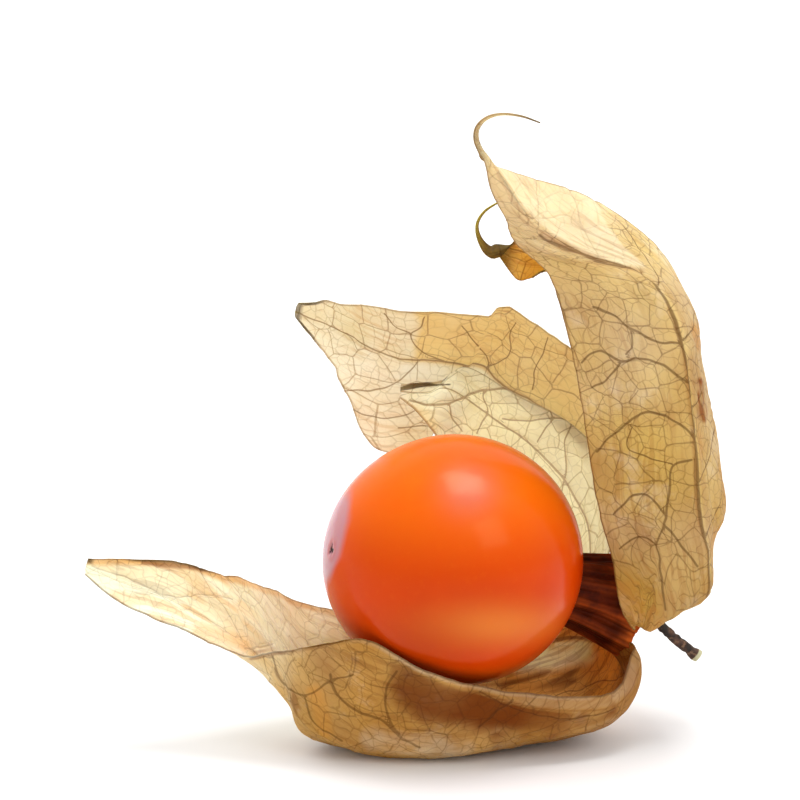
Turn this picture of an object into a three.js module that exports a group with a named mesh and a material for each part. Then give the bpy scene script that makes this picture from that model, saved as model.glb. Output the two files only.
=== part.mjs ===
// A physalis berry lying in its dry, torn-open husk, as picked, with its cut stem.
// Millimetres, +Z up. Everything is laid out around the berry's centre: +X runs towards the
// stem and +Y away from the open side. The finished group is then set down on z = 0.
import * as THREE from "three";

// Driving dimensions.
const BERRY_LENGTH = 18.4;
const BERRY_WIDTH = 17.9;
const BERRY_AXIS = new THREE.Vector3(8.57, 2.9, -1.6).normalize();
const STEM_DIMPLE = 0.35;
const MEMBRANE = 0.45;
const FLOOR = -13.6;

// The husk's sunken base: an axis from the berry's centre, and the ring where the sepals part.
const HUSK_AXIS = new THREE.Vector3(13.2, 3.4, -4.4).normalize();
const RING_DISTANCE = 13.5;
const RING_RADIUS = 3.7;
const COLLAR_START = 9.45;
const COLLAR_END = 13.0;
const COLLAR_RADIUS = { start: 2.5, end: 3.45 };
const COLLAR_WALL = 0.6;
const COLLAR_RIBS = 10;
const COLLAR_RIB_HEIGHT = 0.12;
const STEM_RADIUS = 0.4;
const STEM_FLARE = 0.09;
const TIP_WIDTH = 0.5;

// Two directions across the husk's axis: up, and out of the open side.
const RING_UP = new THREE.Vector3(0, 0, 1).projectOnPlane(HUSK_AXIS).normalize();
const RING_NEAR = new THREE.Vector3().crossVectors(HUSK_AXIS, RING_UP);

// A point on the ring, its angle counted in degrees from the top towards the open side.
function ringPoint(degrees) {
  const angle = THREE.MathUtils.degToRad(degrees);
  return HUSK_AXIS.clone()
    .multiplyScalar(RING_DISTANCE)
    .addScaledVector(RING_UP, RING_RADIUS * Math.cos(angle))
    .addScaledVector(RING_NEAR, RING_RADIUS * Math.sin(angle));
}

// Each sepal is a sheet through stations from its base to its tip. A station holds five points
// across the sheet: one edge, flank, midrib, other flank, other edge. `base` gives the first
// station as angles on the ring, and `thread` the line of a long curled tip.
const SEPALS = {
  front_sepal: {
    color: 0xb88748,
    steps: { along: 38, across: 14 },
    base: [122, 143, 165, 185, 202],
    stations: [
      [[13.0, -0.9, -6.7], [13.35, -0.2, -8.7], [12.6, 2.6, -10.1], [12.0, 5.9, -9.0], [11.6, 7.8, -6.2]],
      [[11.4, -4.0, -8.9], [11.15, -3.1, -11.15], [10.2, 1.0, -12.35], [9.6, 5.8, -11.0], [9.2, 8.9, -6.4]],
      [[5.2, -6.4, -8.2], [5.4, -4.9, -11.85], [5.2, 0.6, -13.65], [5.0, 5.8, -12.6], [4.8, 9.0, -7.4]],
      [[0.9, -7.3, -7.0], [0.8, -5.6, -12.5], [0.7, 0.5, -13.9], [0.7, 5.9, -12.7], [0.6, 8.8, -7.4]],
      [[-2.8, -7.6, -5.6], [-2.8, -5.9, -12.45], [-2.8, 0.5, -13.9], [-2.8, 5.9, -12.4], [-2.9, 8.4, -7.0]],
      [[-6.6, -7.0, -3.8], [-6.8, -5.6, -12.0], [-6.8, 0.3, -13.6], [-6.8, 4.6, -11.0], [-6.8, 7.8, -6.3]],
      [[-10.7, -5.8, -4.6], [-10.85, -4.5, -10.9], [-10.6, -0.4, -12.35], [-10.6, 3.0, -9.0], [-10.9, 5.8, -4.8]],
      [[-12.7, -5.2, -5.1], [-12.0, -4.0, -8.75], [-11.9, -0.5, -9.9], [-12.5, 2.4, -6.9], [-12.9, 4.8, -3.65]],
      [[-15.4, -4.4, -5.5], [-14.9, -2.8, -6.4], [-14.7, -0.6, -6.4], [-15.0, 1.8, -4.6], [-15.4, 3.5, -2.4]],
      [[-20.0, -3.2, -4.0], [-20.0, -2.0, -3.6], [-20.0, -0.5, -2.8], [-20.0, 0.9, -1.8], [-20.0, 2.0, -0.7]],
      [[-24.0, -2.0, -2.55], [-24.0, -1.3, -2.1], [-24.0, -0.5, -1.5], [-24.0, 0.4, -0.8], [-24.0, 1.0, -0.2]],
      [[-26.4, -0.7, -0.9], [-26.4, -0.4, -0.8], [-26.4, -0.2, -0.5], [-26.3, 0.0, -0.2], [-26.2, 0.2, 0.1]],
    ],
    thread: [],
  },
  back_sepal: {
    color: 0xdccb92,
    steps: { along: 26, across: 12 },
    base: [-119, -106, -94, -81, -68],
    stations: [
      [[11.6, 9.8, -3.8], [11.9, 10.1, -3.0], [12.2, 10.3, -2.3], [12.6, 10.1, -1.4], [12.9, 9.5, -0.7]],
      [[11.3, 12.7, 1.8], [11.4, 12.8, 2.2], [11.5, 12.9, 2.5], [12.8, 12.9, 4.5], [13.6, 12.4, 5.7]],
      [[8.75, 12.85, 5.6], [8.9, 12.9, 5.95], [9.1, 13.0, 6.25], [10.5, 12.9, 8.7], [11.0, 12.4, 10.35]],
      [[3.5, 12.85, 8.9], [3.7, 13.0, 9.25], [3.9, 13.1, 9.55], [5.2, 12.9, 12.3], [5.9, 12.0, 14.7]],
      [[0.5, 12.6, 10.3], [0.75, 12.85, 10.7], [1.0, 13.0, 11.05], [1.9, 12.7, 13.1], [2.6, 11.75, 15.3]],
      [[-2.2, 10.8, 5.2], [-2.1, 11.8, 8.5], [-1.8, 12.6, 11.6], [-1.4, 12.2, 13.8], [-0.9, 11.3, 15.6]],
      [[-5.9, 9.3, 5.9], [-5.0, 10.9, 9.1], [-4.0, 12.0, 11.95], [-4.1, 11.7, 14.0], [-4.0, 10.9, 15.85]],
      [[-8.4, 9.2, 10.7], [-7.5, 10.4, 12.0], [-6.7, 11.2, 13.2], [-6.8, 11.0, 15.0], [-6.9, 10.4, 16.4]],
      [[-11.4, 9.3, 15.5], [-11.55, 9.5, 15.7], [-11.55, 9.7, 16.0], [-11.45, 9.6, 16.4], [-11.25, 9.5, 16.75]],
    ],
    thread: [],
  },
  inner_sepal: {
    color: 0xd5cc9c,
    steps: { along: 20, across: 8 },
    base: [-147, -142, -137, -131, -126],
    stations: [
      [[9.2, 7.2, -6.6], [9.6, 7.8, -6.0], [10.0, 8.2, -5.4], [10.2, 8.5, -4.7], [10.55, 8.7, -4.1]],
      [[6.6, 9.2, -3.6], [8.2, 10.2, -1.8], [9.9, 10.9, -0.2], [11.3, 11.2, 1.2], [12.3, 11.3, 2.2]],
      [[3.6, 9.7, -0.4], [5.2, 10.9, 2.0], [6.8, 11.7, 4.4], [8.3, 12.0, 5.7], [9.2, 12.1, 6.55]],
      [[1.0, 9.4, 3.1], [2.2, 10.3, 5.35], [3.2, 11.3, 7.3], [3.9, 11.8, 8.5], [4.4, 12.2, 9.3]],
      [[-1.4, 8.0, 7.2], [-0.8, 9.2, 8.7], [-0.2, 10.3, 9.95], [0.4, 11.2, 10.9], [1.0, 11.8, 11.3]],
      [[-2.9, 8.8, 8.8], [-2.4, 9.4, 9.35], [-1.9, 10.0, 9.75], [-1.3, 10.5, 10.15], [-0.7, 10.9, 10.5]],
      [[-3.9, 9.3, 9.55], [-3.9, 9.5, 9.75], [-3.9, 9.7, 9.95], [-3.9, 9.9, 10.15], [-3.9, 10.1, 10.35]],
    ],
    thread: [],
  },
  near_sepal: {
    color: 0xc29a58,
    steps: { along: 50, across: 12 },
    base: [112, 88, 62, 36, 12],
    stations: [
      [[11.8, -0.8, -3.3], [14.1, -0.9, -4.9], [17.7, 0.2, -3.15], [18.05, 2.0, -2.35], [17.8, 4.3, -1.8]],
      [[11.1, -1.0, 0.3], [14.4, -2.3, 0.2], [18.1, -1.0, 0.2], [18.6, 2.2, 0.6], [18.3, 5.3, 0.8]],
      [[10.0, -1.3, 4.8], [13.7, -2.7, 4.7], [17.2, -1.8, 4.4], [19.4, 1.8, 3.4], [18.9, 5.3, 4.2]],
      [[9.1, -1.5, 10.0], [12.9, -2.9, 9.9], [16.9, -2.0, 9.3], [18.6, 1.6, 8.2], [18.7, 5.1, 8.6]],
      [[8.3, -1.5, 14.4], [12.3, -2.8, 14.8], [16.3, -2.0, 14.8], [17.6, 1.2, 13.8], [17.5, 4.7, 13.6]],
      [[7.15, -1.4, 19.2], [10.8, -2.5, 19.8], [14.6, -1.9, 19.6], [16.75, 1.0, 18.35], [16.5, 4.5, 18.0]],
      [[6.2, -1.2, 21.4], [9.5, -2.0, 21.6], [12.5, -1.6, 21.6], [14.0, 1.2, 21.65], [14.55, 4.0, 21.85]],
      [[3.95, -0.8, 23.5], [6.4, -1.4, 23.0], [8.6, -1.2, 22.6], [10.4, 1.6, 24.3], [10.95, 3.6, 24.85]],
      [[3.45, -0.4, 25.0], [4.3, -0.8, 24.9], [5.4, -0.9, 24.9], [7.2, 1.5, 26.05], [7.8, 2.4, 26.6]],
      [[2.35, 0.0, 27.0], [3.0, -0.2, 27.1], [3.6, -0.2, 27.3], [4.15, 0.6, 27.6], [4.7, 1.4, 27.75]],
    ],
    thread: [
      [2.15, 0.4, 28.9], [1.65, 0.5, 29.6], [1.35, 0.7, 30.4], [1.45, 0.9, 31.2],
      [2.1, 1.1, 31.85], [3.2, 1.3, 32.1], [4.6, 1.5, 31.9], [5.9, 1.7, 31.4],
    ],
  },
  far_sepal: {
    color: 0xb98a44,
    steps: { along: 40, across: 10 },
    base: [7, -10, -27, -44, -60],
    stations: [
      [[17.4, 4.8, -2.0], [17.2, 6.4, -2.0], [16.2, 7.8, -2.0], [14.8, 8.4, -1.6], [13.2, 8.4, -0.6]],
      [[18.0, 5.8, 0.6], [17.8, 7.4, 0.8], [16.8, 8.7, 1.0], [14.8, 9.2, 1.4], [13.0, 8.9, 1.8]],
      [[18.8, 5.8, 4.2], [18.5, 7.3, 4.2], [17.4, 8.6, 4.3], [14.6, 8.9, 4.6], [12.2, 8.5, 4.9]],
      [[18.6, 5.6, 8.6], [18.3, 7.0, 8.6], [17.0, 8.2, 8.8], [14.0, 8.5, 9.0], [11.4, 8.1, 9.3]],
      [[17.4, 5.2, 13.6], [17.1, 6.5, 13.7], [15.8, 7.6, 14.0], [13.0, 7.9, 14.2], [10.4, 7.5, 14.4]],
      [[16.0, 5.0, 17.8], [15.4, 6.1, 17.9], [13.8, 7.0, 18.0], [11.3, 7.2, 18.1], [9.0, 6.9, 18.1]],
      [[12.4, 4.6, 21.2], [11.6, 5.5, 20.9], [10.0, 6.2, 20.4], [8.4, 6.2, 20.0], [6.8, 5.8, 19.8]],
      [[5.8, 4.0, 23.5], [5.6, 4.8, 22.5], [5.3, 5.2, 21.4], [5.0, 5.0, 20.2], [4.6, 4.7, 19.3]],
    ],
    thread: [
      [3.1, 4.3, 21.6], [2.25, 4.1, 21.65], [1.65, 3.9, 22.6],
      [1.5, 3.7, 23.7], [2.05, 3.5, 24.7], [3.2, 3.3, 25.5],
    ],
  },
};

// The stem's line, from the berry out through the collar and down to its cut end.
const STEM_LINE = [
  HUSK_AXIS.clone().multiplyScalar(COLLAR_START),
  HUSK_AXIS.clone().multiplyScalar(COLLAR_END),
  new THREE.Vector3(14.5, 3.7, -5.6),
  new THREE.Vector3(16.0, 4.0, -7.05),
  new THREE.Vector3(17.75, 4.2, -8.5),
];

function rail(points) {
  return new THREE.CatmullRomCurve3(points, false, "catmullrom", 0.5);
}

// Five points side by side across a curled tip, which lies in an upright plane.
function threadStation(point) {
  return [-0.5, -0.25, 0, 0.25, 0.5].map((side) => {
    return new THREE.Vector3(point[0], point[1] + side * TIP_WIDTH, point[2]);
  });
}

// The sheet's middle surface as rows of points, from the base to the tip.
function sheetRows({ base, stations, thread, steps }) {
  const rows = [
    base.map(ringPoint),
    ...stations.map((station) => station.map((point) => new THREE.Vector3(...point))),
    ...thread.map(threadStation),
  ];
  const rails = base.map((_, side) => rail(rows.map((row) => row[side])));
  return Array.from({ length: steps.along + 1 }, (_, i) => {
    const section = rail(rails.map((line) => line.getPoint(i / steps.along)));
    return section.getPoints(steps.across);
  });
}

// The sheet's normal at one point of the grid, from the points around it.
function sheetNormal(rows, i, j) {
  const along = new THREE.Vector3().subVectors(
    rows[Math.min(i + 1, rows.length - 1)][j],
    rows[Math.max(i - 1, 0)][j],
  );
  const across = new THREE.Vector3().subVectors(
    rows[i][Math.min(j + 1, rows[i].length - 1)],
    rows[i][Math.max(j - 1, 0)],
  );
  return along.cross(across).normalize();
}

// A sheet with a wall: both faces, then the rim all round. Whatever would lie below the
// surface that the husk rests on is pressed flat against it.
function wallGeometry(rows) {
  const columns = rows[0].length;
  const layer = rows.length * columns;
  const positions = [];
  for (const side of [1, -1]) {
    rows.forEach((row, i) => {
      row.forEach((middle, j) => {
        const point = middle.clone().addScaledVector(sheetNormal(rows, i, j), (side * MEMBRANE) / 2);
        const lowest = side > 0 ? FLOOR : FLOOR + MEMBRANE;
        positions.push(point.x, point.y, Math.max(point.z, lowest));
      });
    });
  }
  const faces = [];
  const quad = (a, b, c, d) => faces.push(a, b, c, a, c, d);
  const at = (i, j) => i * columns + j;
  for (let i = 0; i + 1 < rows.length; i += 1) {
    for (let j = 0; j + 1 < columns; j += 1) {
      quad(at(i, j), at(i + 1, j), at(i + 1, j + 1), at(i, j + 1));
      quad(layer + at(i, j), layer + at(i, j + 1), layer + at(i + 1, j + 1), layer + at(i + 1, j));
    }
  }
  const last = rows.length - 1;
  const end = columns - 1;
  const rim = [];
  for (let i = 0; i < last; i += 1) rim.push(at(i, 0));
  for (let j = 0; j < end; j += 1) rim.push(at(last, j));
  for (let i = last; i > 0; i -= 1) rim.push(at(i, end));
  for (let j = end; j > 0; j -= 1) rim.push(at(0, j));
  rim.forEach((here, k) => {
    const next = rim[(k + 1) % rim.length];
    quad(here, here + layer, next + layer, next);
  });
  const geometry = new THREE.BufferGeometry();
  geometry.setAttribute("position", new THREE.Float32BufferAttribute(positions, 3));
  geometry.setIndex(faces);
  geometry.computeVertexNormals();
  return geometry;
}

// A round body from a profile of (radius, height) points, turned about the Y axis.
function turned(profile, segments) {
  return new THREE.LatheGeometry(profile, segments);
}

// The berry's outline from its free end to its stem end: an ellipse, dimpled round the stem.
function berryGeometry() {
  const steps = 22;
  const profile = Array.from({ length: steps + 1 }, (_, i) => {
    const angle = (Math.PI * i) / steps;
    const radius = (BERRY_WIDTH / 2) * Math.sin(angle);
    const dimple = STEM_DIMPLE * Math.exp(-((radius / 1.6) ** 2)) * (i > steps / 2 ? 1 : 0);
    return new THREE.Vector2(radius, (-BERRY_LENGTH / 2) * Math.cos(angle) - dimple);
  });
  profile[0].x = 0;
  profile[steps].x = 0;
  return turned(profile, 36);
}

// The husk's sunken base: a hollow cone with a ridge for each vein that runs into it.
function collarGeometry() {
  const { start, end } = COLLAR_RADIUS;
  const profile = [
    new THREE.Vector2(start, COLLAR_START),
    new THREE.Vector2((start + end) / 2, (COLLAR_START + COLLAR_END) / 2 - 0.1),
    new THREE.Vector2(end, COLLAR_END),
    new THREE.Vector2(end - COLLAR_WALL, COLLAR_END),
    new THREE.Vector2(start - COLLAR_WALL, COLLAR_START),
    new THREE.Vector2(start, COLLAR_START),
  ];
  const geometry = turned(profile, COLLAR_RIBS * 6);
  const position = geometry.getAttribute("position");
  for (let k = 0; k < position.count; k += 1) {
    const x = position.getX(k);
    const z = position.getZ(k);
    const radius = Math.hypot(x, z);
    const stretch = 1 + (COLLAR_RIB_HEIGHT * Math.cos(COLLAR_RIBS * Math.atan2(z, x))) / radius;
    position.setXYZ(k, x * stretch, position.getY(k), z * stretch);
  }
  return geometry;
}

// The stem: a ten-sided rod along its line.
function stemGeometry() {
  const sides = 10;
  const section = new THREE.Shape(Array.from({ length: sides }, (_, k) => {
    const angle = (2 * Math.PI * k) / sides;
    return new THREE.Vector2(STEM_RADIUS * Math.cos(angle), (STEM_RADIUS + STEM_FLARE) * Math.sin(angle));
  }));
  return new THREE.ExtrudeGeometry(section, { steps: 16, extrudePath: rail(STEM_LINE) });
}

function addMesh(group, name, geometry, color, roughness) {
  const material = new THREE.MeshStandardMaterial({ color, roughness, metalness: 0 });
  const mesh = new THREE.Mesh(geometry, material);
  mesh.name = name;
  group.add(mesh);
  return mesh;
}

const fruit = new THREE.Group();
const lengthwise = new THREE.Vector3(0, 1, 0);

const berry = addMesh(fruit, "berry", berryGeometry(), 0xe85200, 0.25);
berry.quaternion.setFromUnitVectors(lengthwise, BERRY_AXIS);

const collar = addMesh(fruit, "calyx_collar", collarGeometry(), 0x5a1606, 0.6);
collar.quaternion.setFromUnitVectors(lengthwise, HUSK_AXIS);

addMesh(fruit, "stem", stemGeometry(), 0x4a3020, 0.8);

for (const [name, sepal] of Object.entries(SEPALS)) {
  addMesh(fruit, name, wallGeometry(sheetRows(sepal)), sepal.color, 0.7);
}

// Set the fruit down: the middle of its lowest plane becomes the origin.
fruit.updateMatrixWorld(true);
const box = new THREE.Box3().setFromObject(fruit, true);
const middle = box.getCenter(new THREE.Vector3());
fruit.position.set(-middle.x, -middle.y, -box.min.z);

export default fruit;
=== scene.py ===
"""A physalis berry in its torn, papery husk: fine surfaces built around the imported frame."""

import logging
import math
from dataclasses import dataclass, field, replace
from enum import Enum
from functools import cache, reduce

import bpy
import numpy as np
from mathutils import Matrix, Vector


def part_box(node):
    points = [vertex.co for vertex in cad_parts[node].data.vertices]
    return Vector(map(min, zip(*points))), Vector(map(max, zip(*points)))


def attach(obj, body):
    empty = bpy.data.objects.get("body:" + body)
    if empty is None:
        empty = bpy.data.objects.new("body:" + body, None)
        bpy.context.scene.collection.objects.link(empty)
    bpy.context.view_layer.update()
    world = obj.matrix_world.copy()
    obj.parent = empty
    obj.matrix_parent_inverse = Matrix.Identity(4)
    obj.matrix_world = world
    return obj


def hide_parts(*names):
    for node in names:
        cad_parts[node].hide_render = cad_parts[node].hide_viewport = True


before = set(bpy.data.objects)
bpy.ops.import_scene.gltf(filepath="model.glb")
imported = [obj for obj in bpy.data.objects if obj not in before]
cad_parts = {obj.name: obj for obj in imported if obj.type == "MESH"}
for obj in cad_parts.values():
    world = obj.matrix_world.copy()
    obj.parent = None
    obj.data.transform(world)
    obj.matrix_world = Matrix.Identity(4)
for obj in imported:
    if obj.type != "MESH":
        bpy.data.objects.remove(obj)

LOG = logging.getLogger("physalis")

Line = tuple[tuple[float, ...], ...]
Stations = tuple[Line, ...]
VeinLines = tuple[tuple[float, Line], ...]

MM = 0.001
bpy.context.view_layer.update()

# Points across a sepal's station: edge, flank, midrib, flank, edge.
RAILS = 5

# How many degrees the front view looks down, and so how far its plane leans back.
LEAN = 14.0

# The husk's sunken base, in millimetres from the berry's centre: an axis and a ring on it.
HUSK_AXIS = np.array([13.2, 3.4, -4.4]) / np.linalg.norm([13.2, 3.4, -4.4])
RING_DISTANCE = 13.5
RING_RADIUS = 3.7


# ---------------------------------------------------------------- vectors and noise


def unit(vectors: np.ndarray) -> np.ndarray:
    """Return vectors at length one, along the last axis."""
    length = np.linalg.norm(vectors, axis=-1, keepdims=True)
    return vectors / np.maximum(length, 1e-9)


def across_frame(axis: np.ndarray) -> tuple[np.ndarray, np.ndarray]:
    """Return two unit directions across an axis: the upward one, and the one beside it."""
    up = unit(np.array([0.0, 0.0, 1.0]) - axis[2] * axis)
    return up, np.cross(axis, up)


def path_frame(path: np.ndarray) -> tuple[np.ndarray, np.ndarray, np.ndarray]:
    """Return three unit directions at each point of a path.

    Args:
        path: Points in order.

    Returns:
        The direction ahead, the one that points most to the back, and the one square to both.
    """
    ahead = unit(np.gradient(path, axis=0))
    side = unit(np.array([0.0, 1.0, 0.0]) - ahead[:, 1:2] * ahead)
    return ahead, side, np.cross(side, ahead)


def front_view(points: np.ndarray) -> tuple[np.ndarray, np.ndarray]:
    """Return how far points lie up the leaning front plane, and how far they stand in front of it."""
    sine, cosine = math.sin(math.radians(LEAN)), math.cos(math.radians(LEAN))
    return points[..., 1] * sine + points[..., 2] * cosine, points[..., 2] * sine - points[..., 1] * cosine


RING_UP, RING_NEAR = across_frame(HUSK_AXIS)


def smooth(low: float, high: float, values: np.ndarray) -> np.ndarray:
    """Return an eased step from 0 at low to 1 at high: 3t^2 - 2t^3 of the clamped share t."""
    share = np.clip((values - low) / (high - low), 0.0, 1.0)
    return share * share * (3.0 - 2.0 * share)


def bell(*shares: np.ndarray) -> np.ndarray:
    """Return a bell, 1 where all shares are 0: e to the power of minus their squares' sum."""
    return np.exp(-sum(share**2 for share in shares))


def most(*masks: np.ndarray) -> np.ndarray:
    """Return the greatest of several masks at each point."""
    return reduce(np.maximum, masks)


def running(steps: np.ndarray) -> np.ndarray:
    """Return the running total of steps, from 0."""
    return np.concatenate([[0.0], np.cumsum(steps)])


def stretches(count: int, where: np.ndarray) -> tuple[np.ndarray, np.ndarray]:
    """Return which stretch between evenly numbered points each place lies on, and its share there.

    Args:
        count: Number of points.
        where: Places from 0 at the first point to 1 at the last.

    Returns:
        The number of each place's stretch, and the place's share along it.
    """
    place = np.asarray(where, dtype=float) * (count - 1)
    first = np.clip(np.floor(place).astype(int), 0, count - 2)
    return first, place - first


def spline_weights(count: int, where: np.ndarray) -> np.ndarray:
    """Weights of a uniform Catmull-Rom spline through evenly numbered points.

    Each place blends the four points around it with the cubic whose slopes are half the
    step between a point's two neighbours. Beyond each end a mirrored point is added.

    Args:
        count: Number of points.
        where: Places along the spline, from 0 at the first point to 1 at the last.

    Returns:
        A matrix of one row per place and one column per point.
    """
    first, t = stretches(count, where)
    blend = (
        -0.5 * t + t**2 - 0.5 * t**3,
        1.0 - 2.5 * t**2 + 1.5 * t**3,
        0.5 * t + 2.0 * t**2 - 1.5 * t**3,
        -0.5 * t**2 + 0.5 * t**3,
    )
    padded = np.zeros((len(t), count + 2))
    rows = np.arange(len(t))
    for offset, weight in enumerate(blend):
        padded[rows, first + offset] += weight
    ends = np.zeros((count + 2, count))
    ends[1 : count + 1] = np.eye(count)
    ends[0, :2] = (2.0, -1.0)
    ends[-1, -2:] = (-1.0, 2.0)
    return padded @ ends


def tent_weights(count: int, where: np.ndarray) -> np.ndarray:
    """Weights of straight stretches between evenly numbered points, as spline_weights gives them.

    Args:
        count: Number of points.
        where: Places from 0 at the first point to 1 at the last.

    Returns:
        A matrix of one row per place and one column per point.
    """
    first, t = stretches(count, where)
    weights = np.zeros((len(t), count))
    rows = np.arange(len(t))
    weights[rows, first] = 1.0 - t
    weights[rows, first + 1] += t
    return weights


def lattice(column: np.ndarray, row: np.ndarray, seed: int) -> np.ndarray:
    """Return one steady number from 0 to 1 for each whole-numbered cell."""
    mixed = np.sin(column * 127.1 + row * 311.7 + seed * 74.7) * 43758.5453
    return mixed - np.floor(mixed)


def noise(places: np.ndarray, size: float, seed: int) -> np.ndarray:
    """Return smooth noise from -1 to 1 over flat places.

    Steady numbers on a square lattice are blended with eased weights.

    Args:
        places: Flat places, as pairs along the last axis.
        size: Side of a lattice square.
        seed: Picks the pattern.

    Returns:
        One number for each place.
    """
    scaled = places / size
    cell = np.floor(scaled)
    share = smooth(0.0, 1.0, scaled - cell)
    x, y = cell[..., 0], cell[..., 1]
    low = lattice(x, y, seed) * (1 - share[..., 0]) + lattice(x + 1, y, seed) * share[..., 0]
    high = lattice(x, y + 1, seed) * (1 - share[..., 0]) + lattice(x + 1, y + 1, seed) * share[..., 0]
    return 2.0 * (low * (1 - share[..., 1]) + high * share[..., 1]) - 1.0


def cell_walls(places: np.ndarray, size: float, seed: int) -> np.ndarray:
    """Vectors from flat places to the nearest wall between irregular cells.

    One centre strays inside each lattice square. The wall between the nearest centre and
    any other is their bisector, so the vector runs along the line of the two centres, and
    the shortest such vector wins.

    Args:
        places: Flat places, as pairs along the last axis.
        size: Side of a lattice square.
        seed: Picks the pattern.

    Returns:
        The vectors, in the unit of the places.
    """
    stray = 0.85
    same = 1e-6
    scaled = places / size
    cell = np.floor(scaled)
    centres = []
    for dx in range(-2, 3):
        for dy in range(-2, 3):
            x, y = cell[..., 0] + dx, cell[..., 1] + dy
            stray_x = (lattice(x, y, seed) - 0.5) * stray + 0.5
            stray_y = (lattice(x, y, seed + 57) - 0.5) * stray + 0.5
            centres.append(np.stack([x + stray_x, y + stray_y], axis=-1) - scaled)
    centres = np.stack(centres)
    reach = np.linalg.norm(centres, axis=-1)
    nearest = np.take_along_axis(centres, reach.argmin(axis=0)[None, ..., None], axis=0)
    apart = centres - nearest
    gap = np.linalg.norm(apart, axis=-1)
    middle = (centres + nearest) / 2.0
    wall = np.sum(middle * apart, axis=-1) / np.maximum(gap, same)
    wall = np.where(gap < same, np.inf, wall)
    pick = wall.argmin(axis=0)[None, ..., None]
    toward = np.take_along_axis(apart / np.maximum(gap, same)[..., None], pick, axis=0)[0]
    return toward * wall.min(axis=0)[..., None] * size


def line_vectors(places: np.ndarray, line: Line | np.ndarray) -> np.ndarray:
    """Vectors from flat places to the nearest point of a smooth line.

    The spline through the line's points is cut into six straight pieces for each stretch.

    Args:
        places: Flat places, as pairs along the last axis.
        line: The line's points.

    Returns:
        The vectors, in the unit of the places.
    """
    line = np.array(line, dtype=float)
    path = spline_weights(len(line), np.linspace(0.0, 1.0, 6 * (len(line) - 1) + 1)) @ line
    best = np.full(places.shape, 1e3)
    for start, end in zip(path[:-1], path[1:]):
        along = end - start
        share = np.clip(((places - start) @ along) / max(along @ along, 1e-9), 0.0, 1.0)
        gap = start + share[..., None] * along - places
        closer = np.sum(gap * gap, axis=-1) < np.sum(best * best, axis=-1)
        best[closer] = gap[closer]
    return best


@dataclass
class VeinField:
    """The nearest vein to each point of a sheet, as vectors counted in vein widths.

    A vector turns smoothly through zero across its vein, so a line stays crisp between
    mesh points. Its length is the distance, and the third number is a floor for it, which
    keeps false lines away from where the nearest vein changes.

    Attributes:
        shape: Rows and columns of the sheet.
        pitch: Distance between mesh points, in millimetres.
        far: Length of a vector where no vein is near.
    """

    shape: tuple[int, int]
    pitch: float = 0.12
    far: float = 50.0
    vectors: np.ndarray = field(init=False)
    spans: np.ndarray = field(init=False)

    def __post_init__(self) -> None:
        """Start with every vein far away."""
        self.vectors = np.full((*self.shape, 2), self.far)
        self.spans = np.full(self.shape, 0.1)

    def add(self, gap: np.ndarray, width: np.ndarray | float) -> None:
        """Let a vein win wherever it is nearer in its own widths.

        Args:
            gap: Vectors from the points to the vein, in millimetres.
            width: The vein's half width, in millimetres.
        """
        span = np.broadcast_to(width, gap.shape[:-1])
        scaled = gap / span[..., None]
        closer = np.sum(scaled**2, axis=-1) < np.sum(self.vectors**2, axis=-1)
        self.vectors[closer] = scaled[closer]
        self.spans = np.where(closer, span, self.spans)

    def reach(self) -> np.ndarray:
        """Return the distance to the nearest vein, in its half widths."""
        return np.linalg.norm(self.vectors, axis=-1)

    def trait(self) -> np.ndarray:
        """Return the three numbers that the material reads."""
        least = np.maximum(self.reach() - self.pitch / self.spans, 0.0)
        return np.concatenate([np.clip(self.vectors, -self.far, self.far), least[..., None]], axis=-1)


# ---------------------------------------------------------------- the place of things


@dataclass(frozen=True)
class Site:
    """Where the berry's centre lies in the row frame."""

    centre: np.ndarray

    @classmethod
    def from_frame(cls) -> "Site":
        """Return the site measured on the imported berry."""
        low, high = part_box("berry")
        return cls((np.array(low) + np.array(high)) / 2.0)

    @property
    def floor(self) -> float:
        """Height of the surface below the berry's centre, in millimetres."""
        return -self.centre[2] / MM

    def to_row(self, points: np.ndarray) -> np.ndarray:
        """Return points given in millimetres from the berry's centre, in metres."""
        return self.centre + points * MM


SITE = Site.from_frame()


# ---------------------------------------------------------------- meshes


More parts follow.
